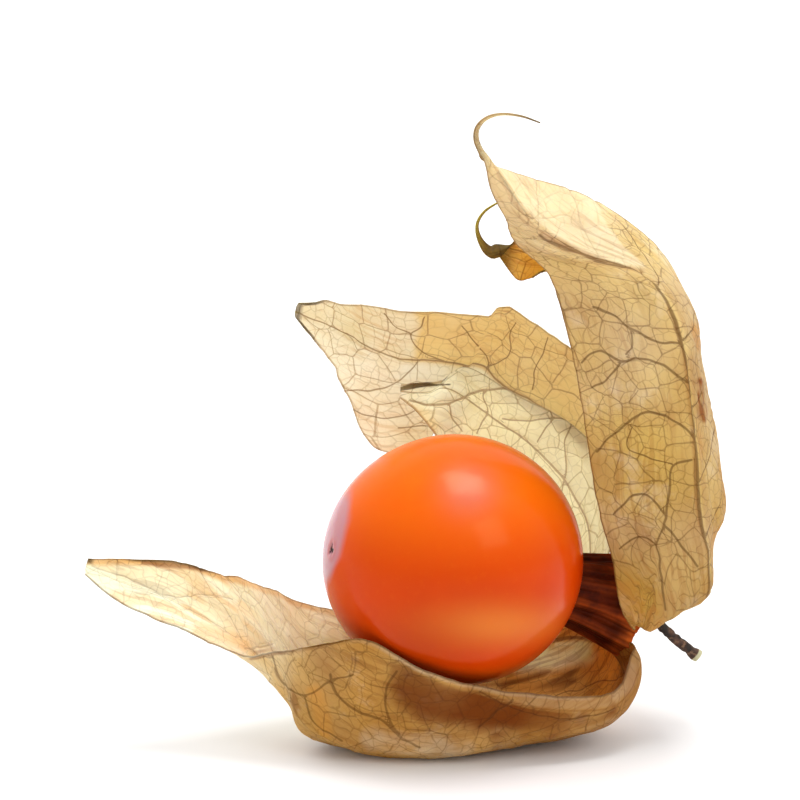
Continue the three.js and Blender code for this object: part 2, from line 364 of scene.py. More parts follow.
@dataclass
class Surface:
    """A mesh in the making: points in millimetres, four-cornered faces and what each point knows.

    The fans are three-cornered faces, and the flat places become the UV layer.
    """

    points: np.ndarray
    faces: np.ndarray
    traits: dict[str, np.ndarray] = field(default_factory=dict)
    flat: np.ndarray | None = None
    fans: np.ndarray | None = None

    def to_object(self, name: str) -> bpy.types.Object:
        """Make the Blender object, smooth shaded, with its traits as attributes.

        Args:
            name: The piece's name.

        Returns:
            The new object, linked to the scene, with its place in its mesh.
        """
        mesh = bpy.data.meshes.new(name)
        places = SITE.to_row(self.points)
        mesh.vertices.add(len(places))
        mesh.vertices.foreach_set("co", places.ravel())
        loops = self.faces.ravel()
        starts = np.arange(0, loops.size, 4)
        if self.fans is not None:
            starts = np.concatenate([starts, loops.size + np.arange(0, self.fans.size, 3)])
            loops = np.concatenate([loops, self.fans.ravel()])
        mesh.loops.add(len(loops))
        mesh.loops.foreach_set("vertex_index", loops)
        mesh.polygons.add(len(starts))
        mesh.polygons.foreach_set("loop_start", starts)
        mesh.update(calc_edges=True)
        mesh.validate()
        mesh.polygons.foreach_set("use_smooth", np.ones(len(mesh.polygons), dtype=bool))
        for trait, values in self.traits.items():
            many = values.ndim == 2
            layer = mesh.attributes.new(trait, "FLOAT_VECTOR" if many else "FLOAT", "POINT")
            layer.data.foreach_set("vector" if many else "value", values.ravel().astype(np.float32))
        if self.flat is not None:
            layer = mesh.uv_layers.new(name="sheet")
            order = np.zeros(len(mesh.loops), dtype=int)
            mesh.loops.foreach_get("vertex_index", order)
            layer.data.foreach_set("uv", self.flat[order].ravel().astype(np.float32))
        piece = bpy.data.objects.new(name, mesh)
        bpy.context.scene.collection.objects.link(piece)
        return piece


def grid_faces(rows: int, columns: int, around: bool = False) -> np.ndarray:
    """Return the four-cornered faces of a grid of points, wound over rows then columns.

    Args:
        rows: Points along the first parameter.
        columns: Points along the second parameter.
        around: Whether the last column joins the first.

    Returns:
        Four point numbers for each face.
    """
    i, j = np.meshgrid(np.arange(rows - 1), np.arange(columns - (0 if around else 1)), indexing="ij")
    k = (j + 1) % columns
    corners = (i * columns + j, (i + 1) * columns + j, (i + 1) * columns + k, i * columns + k)
    return np.stack([c.ravel() for c in corners], axis=-1)


def sheet_normals(grid: np.ndarray) -> np.ndarray:
    """Return the unit normals of a grid of points: its row step crossed with its column step."""
    return unit(np.cross(np.gradient(grid, axis=0), np.gradient(grid, axis=1)))


def shell(grid: np.ndarray, wall: np.ndarray | float) -> tuple[np.ndarray, np.ndarray]:
    """Close a sheet into a thin wall.

    Both faces lie half the wall along the normal from the sheet, and a strip of faces round
    the border joins them.

    Args:
        grid: The middle of the sheet, rows by columns.
        wall: Thickness, in millimetres.

    Returns:
        The points and the faces, with the front layer first.
    """
    rows, columns = grid.shape[:2]
    step = sheet_normals(grid) * (np.broadcast_to(wall, grid.shape[:2])[..., None] / 2.0)
    points = np.concatenate([(grid + step).reshape(-1, 3), (grid - step).reshape(-1, 3)])
    front = grid_faces(rows, columns)
    layer = rows * columns
    back = front[:, ::-1] + layer
    index = np.arange(layer).reshape(rows, columns)
    border = np.concatenate([index[:-1, 0], index[-1, :-1], index[:0:-1, -1], index[0, :0:-1]])
    following = np.roll(border, -1)
    rim = np.stack([border, border + layer, following + layer, following], axis=-1)
    return points, np.concatenate([front, back, rim])


# ---------------------------------------------------------------- node helpers


def rgb(code: str) -> tuple[float, float, float, float]:
    """Return a colour code such as "e85200" as linear red, green, blue and 1.

    Args:
        code: Six hexadecimal digits.

    Returns:
        The linear colour.
    """
    parts = [int(code[i : i + 2], 16) / 255.0 for i in (0, 2, 4)]
    linear = [p / 12.92 if p <= 0.04045 else ((p + 0.055) / 1.055) ** 2.4 for p in parts]
    return (*linear, 1.0)


class Nodes:
    """A short way to write a shader's nodes and links."""

    def __init__(self, tree: bpy.types.NodeTree) -> None:
        """Start on an empty tree."""
        self.tree = tree

    def add(self, kind: str, inputs: dict | None = None, **settings: object) -> bpy.types.Node:
        """Add a node and fill its inputs.

        Args:
            kind: The node type's identifier.
            inputs: Socket name or number to a value or to another node's output.
            settings: The node's own properties.

        Returns:
            The new node.
        """
        node = self.tree.nodes.new(kind)
        for name, value in settings.items():
            setattr(node, name, value)
        self.fill(node, inputs or {})
        return node

    def fill(self, node: bpy.types.Node, inputs: dict) -> None:
        """Link outputs to a node's sockets, or set the sockets' own values.

        Args:
            node: The node to fill.
            inputs: Socket name or number to a value or to another node's output.
        """
        for label, value in inputs.items():
            if isinstance(value, bpy.types.NodeSocket):
                self.tree.links.new(value, node.inputs[label])
            else:
                node.inputs[label].default_value = value

    def place(self) -> bpy.types.NodeSocket:
        """Return the place in the object."""
        return self.add("ShaderNodeTexCoord").outputs["Object"]

    def trait(self, name: str, output: str = "Fac") -> bpy.types.NodeSocket:
        """Return a point attribute's number, or its vector."""
        return self.add("ShaderNodeAttribute", attribute_name=name).outputs[output]

    def math(self, operation: str, *values: object) -> bpy.types.NodeSocket:
        """Return the output of a Math node."""
        return self.add("ShaderNodeMath", dict(enumerate(values)), operation=operation).outputs[0]

    def vector(self, operation: str, inputs: dict, output: int = 0) -> bpy.types.NodeSocket:
        """Return an output of a Vector Math node."""
        return self.add("ShaderNodeVectorMath", inputs, operation=operation).outputs[output]

    def ramp(
        self, value: object, low: float, high: float, out_low: float = 0.0, out_high: float = 1.0
    ) -> bpy.types.NodeSocket:
        """Return a value moved from one range to another, eased and clamped."""
        inputs = {0: value, 1: low, 2: high, 3: out_low, 4: out_high}
        return self.add("ShaderNodeMapRange", inputs, interpolation_type="SMOOTHSTEP").outputs[0]

    def noise(
        self, where: object, scale: float, detail: float, flat: bool = False, output: int = 0, **more: float
    ) -> bpy.types.NodeSocket:
        """Return an output of a noise texture.

        Args:
            where: The places that it is laid on.
            scale: How fine it is.
            detail: How many finer layers it has.
            flat: Whether the places are flat.
            output: 0 for its number, 1 for its colour.
            more: Values of its other inputs.

        Returns:
            The output.
        """
        inputs = {"Vector": where, "Scale": scale, "Detail": detail, **more}
        node = self.add("ShaderNodeTexNoise", inputs, noise_dimensions="2D" if flat else "3D")
        return node.outputs[output]

    def mix(self, share: object, first: object, second: object, blend: str = "MIX") -> bpy.types.NodeSocket:
        """Return the output of a colour Mix node."""
        inputs = {0: share, 6: first, 7: second}
        return self.add("ShaderNodeMix", inputs, data_type="RGBA", blend_type=blend).outputs[2]

    def coats(self, colour: object, *coats: tuple[object, str]) -> bpy.types.NodeSocket:
        """Return a colour with coats over it, each a share and a colour code."""
        for share, code in coats:
            colour = self.mix(share, colour, rgb(code))
        return colour

    def relief(self, height: object, strength: float, distance: float) -> bpy.types.NodeSocket:
        """Return the normals that a height gives."""
        inputs = {"Height": height, "Strength": strength, "Distance": distance}
        return self.add("ShaderNodeBump", inputs).outputs[0]


def new_material(name: str) -> tuple[bpy.types.Material, Nodes, bpy.types.Node]:
    """Return a new material, its node writer and its Principled shader.

    Args:
        name: The material's name.

    Returns:
        The material, the writer and the shader.
    """
    material = bpy.data.materials.new(name)
    material.use_nodes = True
    material.node_tree.nodes.clear()
    nodes = Nodes(material.node_tree)
    shader = nodes.add("ShaderNodeBsdfPrincipled")
    nodes.add("ShaderNodeOutputMaterial", {"Surface": shader.outputs[0]})
    return material, nodes, shader


def new_group(
    name: str, inputs: tuple[str, ...], outputs: tuple[str, ...]
) -> tuple[bpy.types.NodeTree, Nodes]:
    """Return an empty shader group and its node writer.

    Args:
        name: The group's name.
        inputs: Names of its vector inputs.
        outputs: Names of its number outputs.

    Returns:
        The group's tree and a writer for it.
    """
    tree = bpy.data.node_groups.new(name, "ShaderNodeTree")
    for label in inputs:
        tree.interface.new_socket(name=label, in_out="INPUT", socket_type="NodeSocketVector")
    for label in outputs:
        tree.interface.new_socket(name=label, in_out="OUTPUT", socket_type="NodeSocketFloat")
    return tree, Nodes(tree)


# ---------------------------------------------------------------- finishes


@cache
def vein_group() -> bpy.types.NodeTree:
    """Return the group that draws the veins: main ones from the mesh, a fine net on the flat sheet.

    Returns:
        The group's tree, made once.
    """
    tree, n = new_group("husk_veins", ("Flat", "Main", "Cells"), ("Main", "Cells", "Net", "Height"))
    given = n.add("NodeGroupInput").outputs

    def drawn(socket: bpy.types.NodeSocket, near: float, far: float) -> bpy.types.NodeSocket:
        """Return 1 on a line and 0 off it, from a vein vector counted in half widths."""
        parts = n.add("ShaderNodeSeparateXYZ", {0: socket}).outputs
        flat = n.add("ShaderNodeCombineXYZ", {0: parts[0], 1: parts[1]}).outputs[0]
        length = n.vector("LENGTH", {0: flat}, output=1)
        return n.ramp(n.math("MAXIMUM", length, parts[2]), near, far, 1.0, 0.0)

    def net(size: float, thin: float, wide: float, bend: float) -> bpy.types.NodeSocket:
        """Return the walls of small cells on the flat sheet, bent a little."""
        swirl = n.noise(given["Flat"], 0.9 / size, 1.0, flat=True, output=1)
        shift = n.vector("SUBTRACT", {0: swirl, 1: (0.5, 0.5, 0.5)})
        shift = n.vector("SCALE", {0: shift, "Scale": bend})
        bent = n.vector("ADD", {0: given["Flat"], 1: shift})
        cells = {"Vector": bent, "Scale": 1.0 / size}
        wall = n.add("ShaderNodeTexVoronoi", cells, feature="DISTANCE_TO_EDGE", voronoi_dimensions="2D")
        return n.ramp(wall.outputs[0], thin / size, wide / size, 1.0, 0.0)

    fade = n.noise(given["Flat"], 0.35, 2.0, flat=True)
    main = drawn(given["Main"], 0.45, 1.25)
    cells = drawn(given["Cells"], 0.35, 1.3)
    fine = n.math("MULTIPLY", net(0.85, 0.01, 0.075, 0.5), n.ramp(fade, 0.3, 0.6, 0.45, 1.0))
    finest = n.math("MULTIPLY", net(0.36, 0.0, 0.05, 0.2), n.ramp(fade, 0.35, 0.7, 0.1, 0.6))
    small = n.math("MAXIMUM", fine, n.math("MULTIPLY", finest, 0.55))
    height = n.math("ADD", n.math("MULTIPLY", cells, 0.5), n.math("MULTIPLY", small, 0.5))
    height = n.math("MAXIMUM", height, main)
    n.add("NodeGroupOutput", {"Main": main, "Cells": cells, "Net": small, "Height": height})
    return tree


@cache
def fibre_group() -> bpy.types.NodeTree:
    """Return the group that gives a sheet its blotches, its long fibres and its grain.

    Returns:
        The group's tree, made once.
    """
    tree, n = new_group("husk_fibres", ("Flat", "Place"), ("Blotch", "Fibre", "Grain"))
    given = n.add("NodeGroupInput").outputs
    long = n.vector("MULTIPLY", {0: given["Flat"], 1: (0.22, 2.6, 1.0)})
    n.add("NodeGroupOutput", {
        "Blotch": n.noise(given["Place"], 330.0, 4.0, Roughness=0.62),
        "Fibre": n.noise(long, 1.0, 4.0, flat=True, Roughness=0.6, Distortion=0.4),
        "Grain": n.noise(given["Place"], 5200.0, 3.0),
    })
    return tree


@dataclass(frozen=True)
class HuskFinish:
    """Dry husk membrane: a thin tinted sheet with a net of brown veins.

    Colours are codes for rgb, strengths are shares from 0 to 1, faint is what bleaching
    leaves of a vein, glow and flush let light through, and depth is in metres.
    """

    name: str
    tint: str
    pale: str
    amber: str
    brown: str
    vein: str = "5a3814"
    char: str = "2a2216"
    main_strength: float = 0.8
    cell_strength: float = 0.55
    net_strength: float = 0.3
    fibre_strength: float = 0.35
    roughness: float = 0.58
    gloss: float = 0.14
    faint: float = 0.5
    glow: float = 0.5
    depth: float = 0.00035
    flush: tuple[float, float, float] = (1.0, 0.72, 0.42)

    def material(self) -> bpy.types.Material:
        """Build the membrane's material.

        Returns:
            The material.
        """
        material, n, shader = new_material(self.name)
        flat = n.add("ShaderNodeUVMap", uv_map="sheet").outputs[0]
        veins = n.add("ShaderNodeGroup", node_tree=vein_group())
        main, cells = n.trait("main_veins", "Vector"), n.trait("cell_veins", "Vector")
        n.fill(veins, {"Flat": flat, "Main": main, "Cells": cells})
        fibres = n.add("ShaderNodeGroup", node_tree=fibre_group())
        n.fill(fibres, {"Flat": flat, "Place": n.place()})
        blotch, fibre, grain = fibres.outputs
        colour = n.coats(
            rgb(self.tint),
            (n.trait("pale"), self.pale),
            (n.ramp(blotch, 0.52, 0.72, 0.0, 0.3), self.pale),
            (n.trait("amber"), self.amber),
            (n.trait("brown"), self.brown),
        )
        colour = n.mix(n.ramp(blotch, 0.52, 0.3, 0.0, 0.1), colour, rgb(self.amber), "MULTIPLY")
        streak = n.math("MULTIPLY", n.ramp(fibre, 0.52, 0.36), self.fibre_strength)
        colour = n.coats(colour, (n.math("MULTIPLY", streak, n.trait("fibrous")), self.brown))
        shown = n.ramp(n.trait("pale"), 0.3, 0.6, 1.0, self.faint)
        strengths = {"Net": self.net_strength, "Cells": self.cell_strength, "Main": self.main_strength}
        for label, strength in strengths.items():
            line = n.math("MULTIPLY", n.math("MULTIPLY", veins.outputs[label], strength), shown)
            colour = n.coats(colour, (line, self.vein))
        border = n.ramp(n.trait("border"), 0.04, 0.16, 0.6, 0.0)
        rough = n.math("ADD", n.math("MULTIPLY", grain, 0.25), n.math("MULTIPLY", fibre, 0.5))
        height = n.math("ADD", n.math("MULTIPLY", veins.outputs["Height"], 0.8), rough)
        n.fill(shader, {
            "Base Color": n.coats(colour, (border, self.vein), (n.trait("char"), self.char)),
            "Roughness": n.ramp(grain, 0.3, 0.7, self.roughness - 0.1, self.roughness + 0.12),
            "Subsurface Weight": self.glow,
            "Subsurface Radius": self.flush,
            "Subsurface Scale": self.depth,
            "Specular IOR Level": self.gloss,
            "Normal": n.relief(height, 0.6, 0.00005),
        })
        return material


@dataclass(frozen=True)
class BerryFinish:
    """Ripe orange skin, waxy and smooth, a little see-through."""

    name: str = "ripe_skin"

    def material(self) -> bpy.types.Material:
        """Build the berry's material.

        Returns:
            The material.
        """
        material, n, shader = new_material(self.name)
        where = n.place()
        cloud = n.noise(where, 150.0, 3.0)
        speck = n.noise(where, 1500.0, 3.0)
        pore = n.add("ShaderNodeTexVoronoi", {"Vector": where, "Scale": 1500.0}).outputs[0]
        colour = n.coats(
            rgb("c83600"),
            # Ripe top, and painted light from below.
            (n.trait("ripe_top_painted_light_below"), "ee6c06"),
            (n.ramp(cloud, 0.35, 0.7, 0.0, 0.35), "de4a00"),
            # Painted reflection of the floor.
            (n.trait("painted_floor_reflection"), "dc7a30"),
            (n.ramp(pore, 0.0, 0.22, 0.04, 0.0), "f08a10"),
            (n.ramp(speck, 0.55, 0.75, 0.0, 0.05), "ee7010"),
            # Painted shade.
            (n.trait("painted_shade"), "8a2400"),
            # Painted lilac reflection and painted highlight.
            (n.trait("painted_lilac_sheen"), "b08e9c"),
            (n.trait("seam"), "b8381a"),
            (n.trait("scar"), "160a08"),
        )
        n.fill(shader, {
            "Base Color": colour,
            "Roughness": n.ramp(speck, 0.3, 0.7, 0.17, 0.23),
            "Subsurface Weight": 0.25,
            "Subsurface Radius": (1.0, 0.3, 0.05),
            "Subsurface Scale": 0.0012,
            "Specular IOR Level": 0.19,
            "Specular Tint": (1.0, 0.8, 0.45, 1.0),
            "Normal": n.relief(speck, 0.04, 0.00002),
        })
        return material


@dataclass(frozen=True)
class CollarFinish:
    """The dark red-brown, streaky inside of the husk's sunken base: partly the thick tissue's own colour,
    partly painted shade.
    """

    name: str = "dark_calyx_streaks"

    def material(self) -> bpy.types.Material:
        """Build the collar's material.

        Returns:
            The material.
        """
        material, n, shader = new_material(self.name)
        where = n.place()
        grain = n.noise(where, 1100.0, 4.0)
        blotch = n.ramp(n.noise(where, 420.0, 2.0), 0.35, 0.65, 0.0, 0.45)
        # The dark base colour is partly painted shade.
        colour = n.coats(
            rgb("581e06"),
            (n.trait("ridge"), "a84814"),
            (blotch, "4c1208"),
            (n.trait("outer"), "c05a1c"),
        )
        n.fill(shader, {
            "Base Color": n.mix(n.ramp(grain, 0.35, 0.65, 0.5, 0.0), colour, rgb("5a2010"), "MULTIPLY"),
            "Roughness": n.ramp(grain, 0.3, 0.7, 0.45, 0.7),
            "Subsurface Weight": 0.2,
            "Subsurface Radius": (1.0, 0.35, 0.15),
            "Subsurface Scale": 0.0003,
            "Specular IOR Level": 0.05,
            "Normal": n.relief(grain, 0.5, 0.00006),
        })
        return material


@dataclass(frozen=True)
class StemFinish:
    """Dry grey-brown bark with a pale cut end."""

    name: str = "dry_bark"

    def material(self) -> bpy.types.Material:
        """Build the stem's material.

        Returns:
            The material.
        """
        material, n, shader = new_material(self.name)
        where = n.place()
        grain = n.noise(where, 3400.0, 4.0)
        patch = n.ramp(n.noise(where, 1300.0, 2.0), 0.35, 0.65)
        light = n.ramp(grain, 0.5, 0.7, 0.0, 0.6)
        colour = n.coats(rgb("241810"), (patch, "5c4030"), (light, "96765c"), (n.trait("cut"), "c6c29c"))
        n.fill(shader, {
            "Base Color": colour,
            "Roughness": n.ramp(grain, 0.3, 0.7, 0.7, 0.9),
            "Normal": n.relief(grain, 0.8, 0.0001),
        })
        return material


class Slot(Enum):
    """The record's material slots."""

    BERRY = "berry_skin"
    COLLAR = "dark_calyx"
    STEM = "dry_stem"
    TAN = "tan_husk"
    AMBER = "amber_husk"
    PALE = "pale_husk"


def finish_piece(piece: bpy.types.Object, node: str, material: bpy.types.Material) -> None:
    """Dress a piece, hang it on the body and let it stand for its CAD node.

    Args:
        piece: The finished piece.
        node: The CAD node that it replaces.
        material: Its material.
    """
    piece.data.materials.append(material)
    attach(piece, "root")
    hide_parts(node)
    LOG.info("%s: %d faces", piece.name, len(piece.data.polygons))


# ---------------------------------------------------------------- sepals


@dataclass
class Sheet:
    """A sepal's surface, laid out: what each point knows about its place.

    Attributes:
        grid: The points, rows by columns, in millimetres from the berry's centre.
        along: Length along the midrib from the base.
        across: Length across from the midrib, negative towards the first edge.
        first_edge: Length across from the first edge.
        last_edge: Length across from the last edge.
    """

    grid: np.ndarray
    along: np.ndarray
    across: np.ndarray
    first_edge: np.ndarray
    last_edge: np.ndarray

    @classmethod
    def measure(cls, grid: np.ndarray, rib: int) -> "Sheet":
        """Measure lengths along the rib's column and across each row.

        Args:
            grid: The points, rows by columns.
            rib: The midrib's column.

        Returns:
            The sheet with its lengths.
        """
        along = running(np.linalg.norm(np.diff(grid[:, rib], axis=0), axis=1))
        step = np.linalg.norm(np.diff(grid, axis=1), axis=-1)
        across = np.concatenate([np.zeros((len(grid), 1)), np.cumsum(step, axis=1)], axis=1)
        along = np.broadcast_to(along[:, None], across.shape)
        return cls(grid, along, across - across[:, rib : rib + 1], across, across[:, -1:] - across)

    @property
    def flat(self) -> np.ndarray:
        """Places on the flattened sheet: along, then across."""
        return np.stack([self.along, self.across], axis=-1)

    @property
    def length(self) -> float:
        """Length of the midrib."""
        return float(self.along[-1, 0])

    @property
    def border(self) -> np.ndarray:
        """Distance to the nearer side edge."""
        return np.minimum(self.first_edge, self.last_edge)

    @property
    def to_tip(self) -> np.ndarray:
        """Length along the midrib that is left to the tip."""
        return self.length - self.along

    @property
    def left(self) -> np.ndarray:
        """Sideways place, in millimetres from the berry's centre, negative to the left."""
        return self.grid[..., 0]

    @property
    def up(self) -> np.ndarray:
        """Place up the leaning front plane, in millimetres from the berry's centre."""
        return front_view(self.grid)[0]

    @property
    def front(self) -> np.ndarray:
        """Places in the front view: sideways, then up the leaning plane."""
        return np.stack([self.left, self.up], axis=-1)

    def mottle(self, size: float, seed: int, stretch: tuple[float, float] = (1.0, 1.0)) -> np.ndarray:
        """Return noise on the flattened sheet, drawn finer where the stretch is over 1."""
        return noise(self.flat * np.array(stretch), size, seed)

    def mark(self, line: Line, radius: float) -> np.ndarray:
        """Return a soft patch in the front view, 1 along a line and fading out at twice the radius."""
        gap = np.linalg.norm(line_vectors(self.front, line), axis=-1)
        return smooth(2.0 * radius, 0.4 * radius, gap)


@dataclass
class Sepal:
    """One husk sepal: a veined sheet through stations from its base to its tip.

    Lengths are in millimetres and angles in degrees.

    Attributes:
        node: The CAD node that it replaces.
        slot: The record's material slot. Not used.
        finish: Its membrane.
        base: The angles of its five rails on the husk's ring, counted from the top.
        stations: Rows of five points across: edge, flank, midrib, flank, edge.
        seed: Picks its patterns.
        rows: Mesh points along.
        columns: Mesh points across.
        thread: The line of a long tip rolled into a tube, each point with its radius.
        drawn_veins: Veins given in the front view, each with its half width.
        laterals: The sides of the midrib that have veins by formula.
        lateral_count: Veins on each of those sides.
        crease: How sharply it folds along the midrib, from 0 to 1.
        rib_width: Half width of the midrib's vein.
        rib_end: Share of the length where the midrib's vein ends.
        wall: Thickness.
        roll: Angle that a long tip is rolled through, to each side.
        cell: Size of the cells between the veins.
        ragged: Greatest wear of the side edges.
        torn: Depth of the tear at the base.
        swell: Height of the broad swells.
        wrinkle: Height of the long wrinkles.
    """

    node: str
    slot: Slot
    finish: HuskFinish
    base: tuple[float, ...]
    stations: Stations
    seed: int
    rows: int
    columns: int
    thread: Line = ()
    drawn_veins: VeinLines = ()
    laterals: tuple[float, ...] = (-1.0, 1.0)
    lateral_count: int = 8
    crease: float = 0.3
    rib_width: float = 0.12
    rib_end: float = 1.2
    wall: float = 0.11
    roll: float = 140.0
    cell: float = 2.3
    ragged: float = 0.16
    torn: float = 0.0
    swell: float = 0.16
    wrinkle: float = 0.07

    # ---- the sheet

    def ring_row(self) -> np.ndarray:
        """Return the base points: angles on the ring, counted from its top."""
        turn = np.radians(np.array(self.base))[:, None]
        return HUSK_AXIS * RING_DISTANCE + RING_RADIUS * (np.cos(turn) * RING_UP + np.sin(turn) * RING_NEAR)

    def thread_rows(self) -> np.ndarray:
        """Return stations of a tip rolled into a fine tube.

        Each station is five points on a circle round the thread's line, with the midrib on
        the outer side and the two edges a roll's angle away from it.

        Returns:
            The stations, rows by five points.
        """
        line = np.array([point[:3] for point in self.thread])
        radius = np.array([point[3] for point in self.thread])[:, None, None]
        _, side, outer = path_frame(line)
        turn = np.radians(np.linspace(-self.roll, self.roll, RAILS))[None, :, None]
        return line[:, None] + radius * (np.cos(turn) * outer[:, None] + np.sin(turn) * side[:, None])

    def control(self) -> np.ndarray:
        """Return all stations, rows by five points."""
        thread = [self.thread_rows()] if self.thread else []
        return np.concatenate([self.ring_row()[None], np.array(self.stations), *thread])

    def edge_shift(self, along: np.ndarray, edge: int) -> np.ndarray:
        """Return how far a side edge is worn back.

        Args:
            along: Length along the midrib of each row.
            edge: 0 for the first edge, 1 for the last.

        Returns:
            The wear at each row, in millimetres.
        """
        line = np.stack([along, np.full_like(along, 7.0 * edge)], axis=-1)
        wear = 0.6 * noise(line, 1.7, self.seed + 61) + 0.4 * noise(line, 0.6, self.seed + 62)
        return self.ragged * (0.5 + 0.5 * wear)

    def tear(self, along: np.ndarray, across: np.ndarray, width: float) -> np.ndarray:
        """Return how far the torn base moves each point towards the tip.

        The bite is deepest beside the midrib and fades out over the fade's length.

        Args:
            along: Length along the midrib of each row.
            across: Place across of each column, from 0 to 1.
            width: Width of the sheet at its widest.

        Returns:
            The lengths, rows by columns, in millimetres.
        """
        fade_length = 9.0
        line = np.stack([across * width, np.zeros(self.columns)], axis=-1)
        bite = 0.62 + 0.3 * noise(line, 1.3, self.seed + 71) + 0.16 * noise(line, 0.45, 8)
        depth = np.interp(across, [0.0, 0.2, 0.55, 0.8, 1.0], [0.2, 0.8, 1.0, 0.6, 0.4])
        bite = np.maximum(bite, 0.0) * depth
        fade = np.clip(1.0 - along / fade_length, 0.0, 1.0)
        return self.torn * bite[None, :] * fade[:, None]

    def middle(self) -> Sheet:
        """Return the smooth sheet: splines along the rails, then across them.

        The places along are spread so that steps on the midrib have equal length, and the
        places across so that steps on the three widest stations do. Across the midrib the
        spline is blended with straight stretches by the crease's share, which sharpens the
        fold.

        Returns:
            The sheet halfway through its wall.
        """
        control = self.control()
        count = len(control)
        dense = np.linspace(0.0, 1.0, 1500)
        rib = spline_weights(count, dense) @ control[:, RAILS // 2]
        length = running(np.linalg.norm(np.diff(rib, axis=0), axis=1))
        marks = np.linspace(0.0, length[-1], self.rows)
        along = np.interp(marks, length, dense)
        steps = np.linalg.norm(np.diff(control, axis=1), axis=-1)
        widths = np.sort(steps, axis=0)[-3:].mean(axis=0)
        even = np.linspace(0.0, widths.sum(), self.columns)
        across = np.interp(even, running(widths), np.linspace(0.0, 1.0, RAILS))
        row_width = np.maximum(spline_weights(count, along) @ steps.sum(axis=1), 0.1)
        low, high = (np.clip(self.edge_shift(marks, edge) / row_width, -0.08, 0.08) for edge in (0, 1))
        places_across = (low[:, None] + (1.0 - low - high)[:, None] * across[None, :]).ravel()
        places_along = np.repeat(along[:, None], self.columns, axis=1)
        if self.torn:
            places_along = np.interp(marks[:, None] + self.tear(marks, across, widths.sum()), length, dense)
        weights_along = spline_weights(count, places_along.ravel())
        weights_across = (1.0 - self.crease) * spline_weights(RAILS, places_across)
        weights_across = weights_across + self.crease * tent_weights(RAILS, places_across)
        grid = np.einsum("ni,nj,ijk->nk", weights_along, weights_across, control)
        return Sheet.measure(grid.reshape(self.rows, self.columns, 3), int(np.abs(across - 0.5).argmin()))

    # ---- what lies on the sheet

    def calm(self, sheet: Sheet) -> np.ndarray:
        """Return how much relief each point may carry: none at the ring or in a thin tip."""
        width = sheet.first_edge[:, -1:]
        return smooth(0.3, 2.5, sheet.along) * smooth(0.8, 4.5, width)

    def bend(self, sheet: Sheet) -> np.ndarray:
        """Return the flat places, pushed about a little so that no vein runs straight.

        Args:
            sheet: The sepal's sheet.

        Returns:
            Flat places, in millimetres.
        """
        slow = np.stack([sheet.mottle(2.6, self.seed + 11), sheet.mottle(2.6, self.seed + 12)], axis=-1)
        quick = np.stack([sheet.mottle(0.8, self.seed + 13), sheet.mottle(0.8, self.seed + 14)], axis=-1)
        return sheet.flat + 0.35 * slow + 0.09 * quick

    def drawn_side(self, sheet: Sheet) -> np.ndarray:
        """Return where the listed veins may lie."""
        return np.ones(sheet.across.shape, dtype=bool)

    def main_veins(self, sheet: Sheet) -> VeinField:
        """Return the midrib, the veins that leave it by formula, and the listed veins.

        Args:
            sheet: The sepal's sheet.

        Returns:
            The nearest of them to each point.
        """
        leaving = ((0.0, 0.0), (1.4, 1.9), (3.4, 3.7), (6.0, 4.9), (8.4, 5.2))
        away = 9.0
        bent = self.bend(sheet)
        veins = VeinField(sheet.across.shape)
        share = np.clip(sheet.along / sheet.length, 0.0, 1.0)
        taper = self.rib_width * (1.0 - 0.45 * share) * smooth(self.rib_end, self.rib_end - 0.1, share) + 0.01
        wave = 0.25 * (bent[..., 1] - sheet.across)
        veins.add(np.stack([np.zeros_like(wave), -(sheet.across + wave)], axis=-1), taper)
        for side in self.laterals:
            for k in range(self.lateral_count):
                start = 1.0 + k * sheet.length * 0.8 / self.lateral_count + 0.9 * (side > 0)
                gap = line_vectors(bent, np.array(leaving) * (1.0, side) + (start, 0.0))
                veins.add(np.where((sheet.across * side > 0)[..., None], gap, away), 0.07)
        allowed = self.drawn_side(sheet)[..., None]
        jog = np.stack([sheet.mottle(0.7, 91), sheet.mottle(0.7, 92)], axis=-1)
        for width, line in self.drawn_veins:
            gap = line_vectors(sheet.front + 0.07 * jog, line)
            veins.add(np.where(allowed, gap, away), 0.95 * width)
        return veins

    def cell_veins(self, sheet: Sheet) -> VeinField:
        """Return the middling polygons between the main veins.

        Args:
            sheet: The sepal's sheet.

        Returns:
            The nearest of their walls to each point.
        """
        veins = VeinField(sheet.across.shape)
        stretched = self.bend(sheet) * np.array([0.85, 1.0])
        veins.add(cell_walls(stretched, self.cell, self.seed + 21), 0.052)
        return veins

    def pale(self, sheet: Sheet) -> np.ndarray:
        """Return how bleached each point is."""
        return 0.25 + 0.35 * sheet.mottle(5.0, self.seed + 31)

    def amber(self, sheet: Sheet) -> np.ndarray:
        """Return how golden each point is."""
        return 0.1 + 0.3 * sheet.mottle(3.5, self.seed + 41)

    def brown(self, sheet: Sheet) -> np.ndarray:
        """Return how brown each point is."""
        return 0.5 * sheet.mottle(4.0, self.seed + 43) - 0.3

    def char(self, sheet: Sheet) -> np.ndarray:
        """Return how dark and dead each point is."""
        return np.zeros(sheet.across.shape)

    def fibrous(self, sheet: Sheet) -> np.ndarray:
        """Return how strongly long fibres show."""
        return 0.5 + 0.5 * sheet.mottle(4.5, self.seed + 45)

    def shaping(self, sheet: Sheet) -> np.ndarray:
        """Return this sepal's own folds and rolls, as heights off the sheet."""
        return np.zeros(sheet.across.shape)

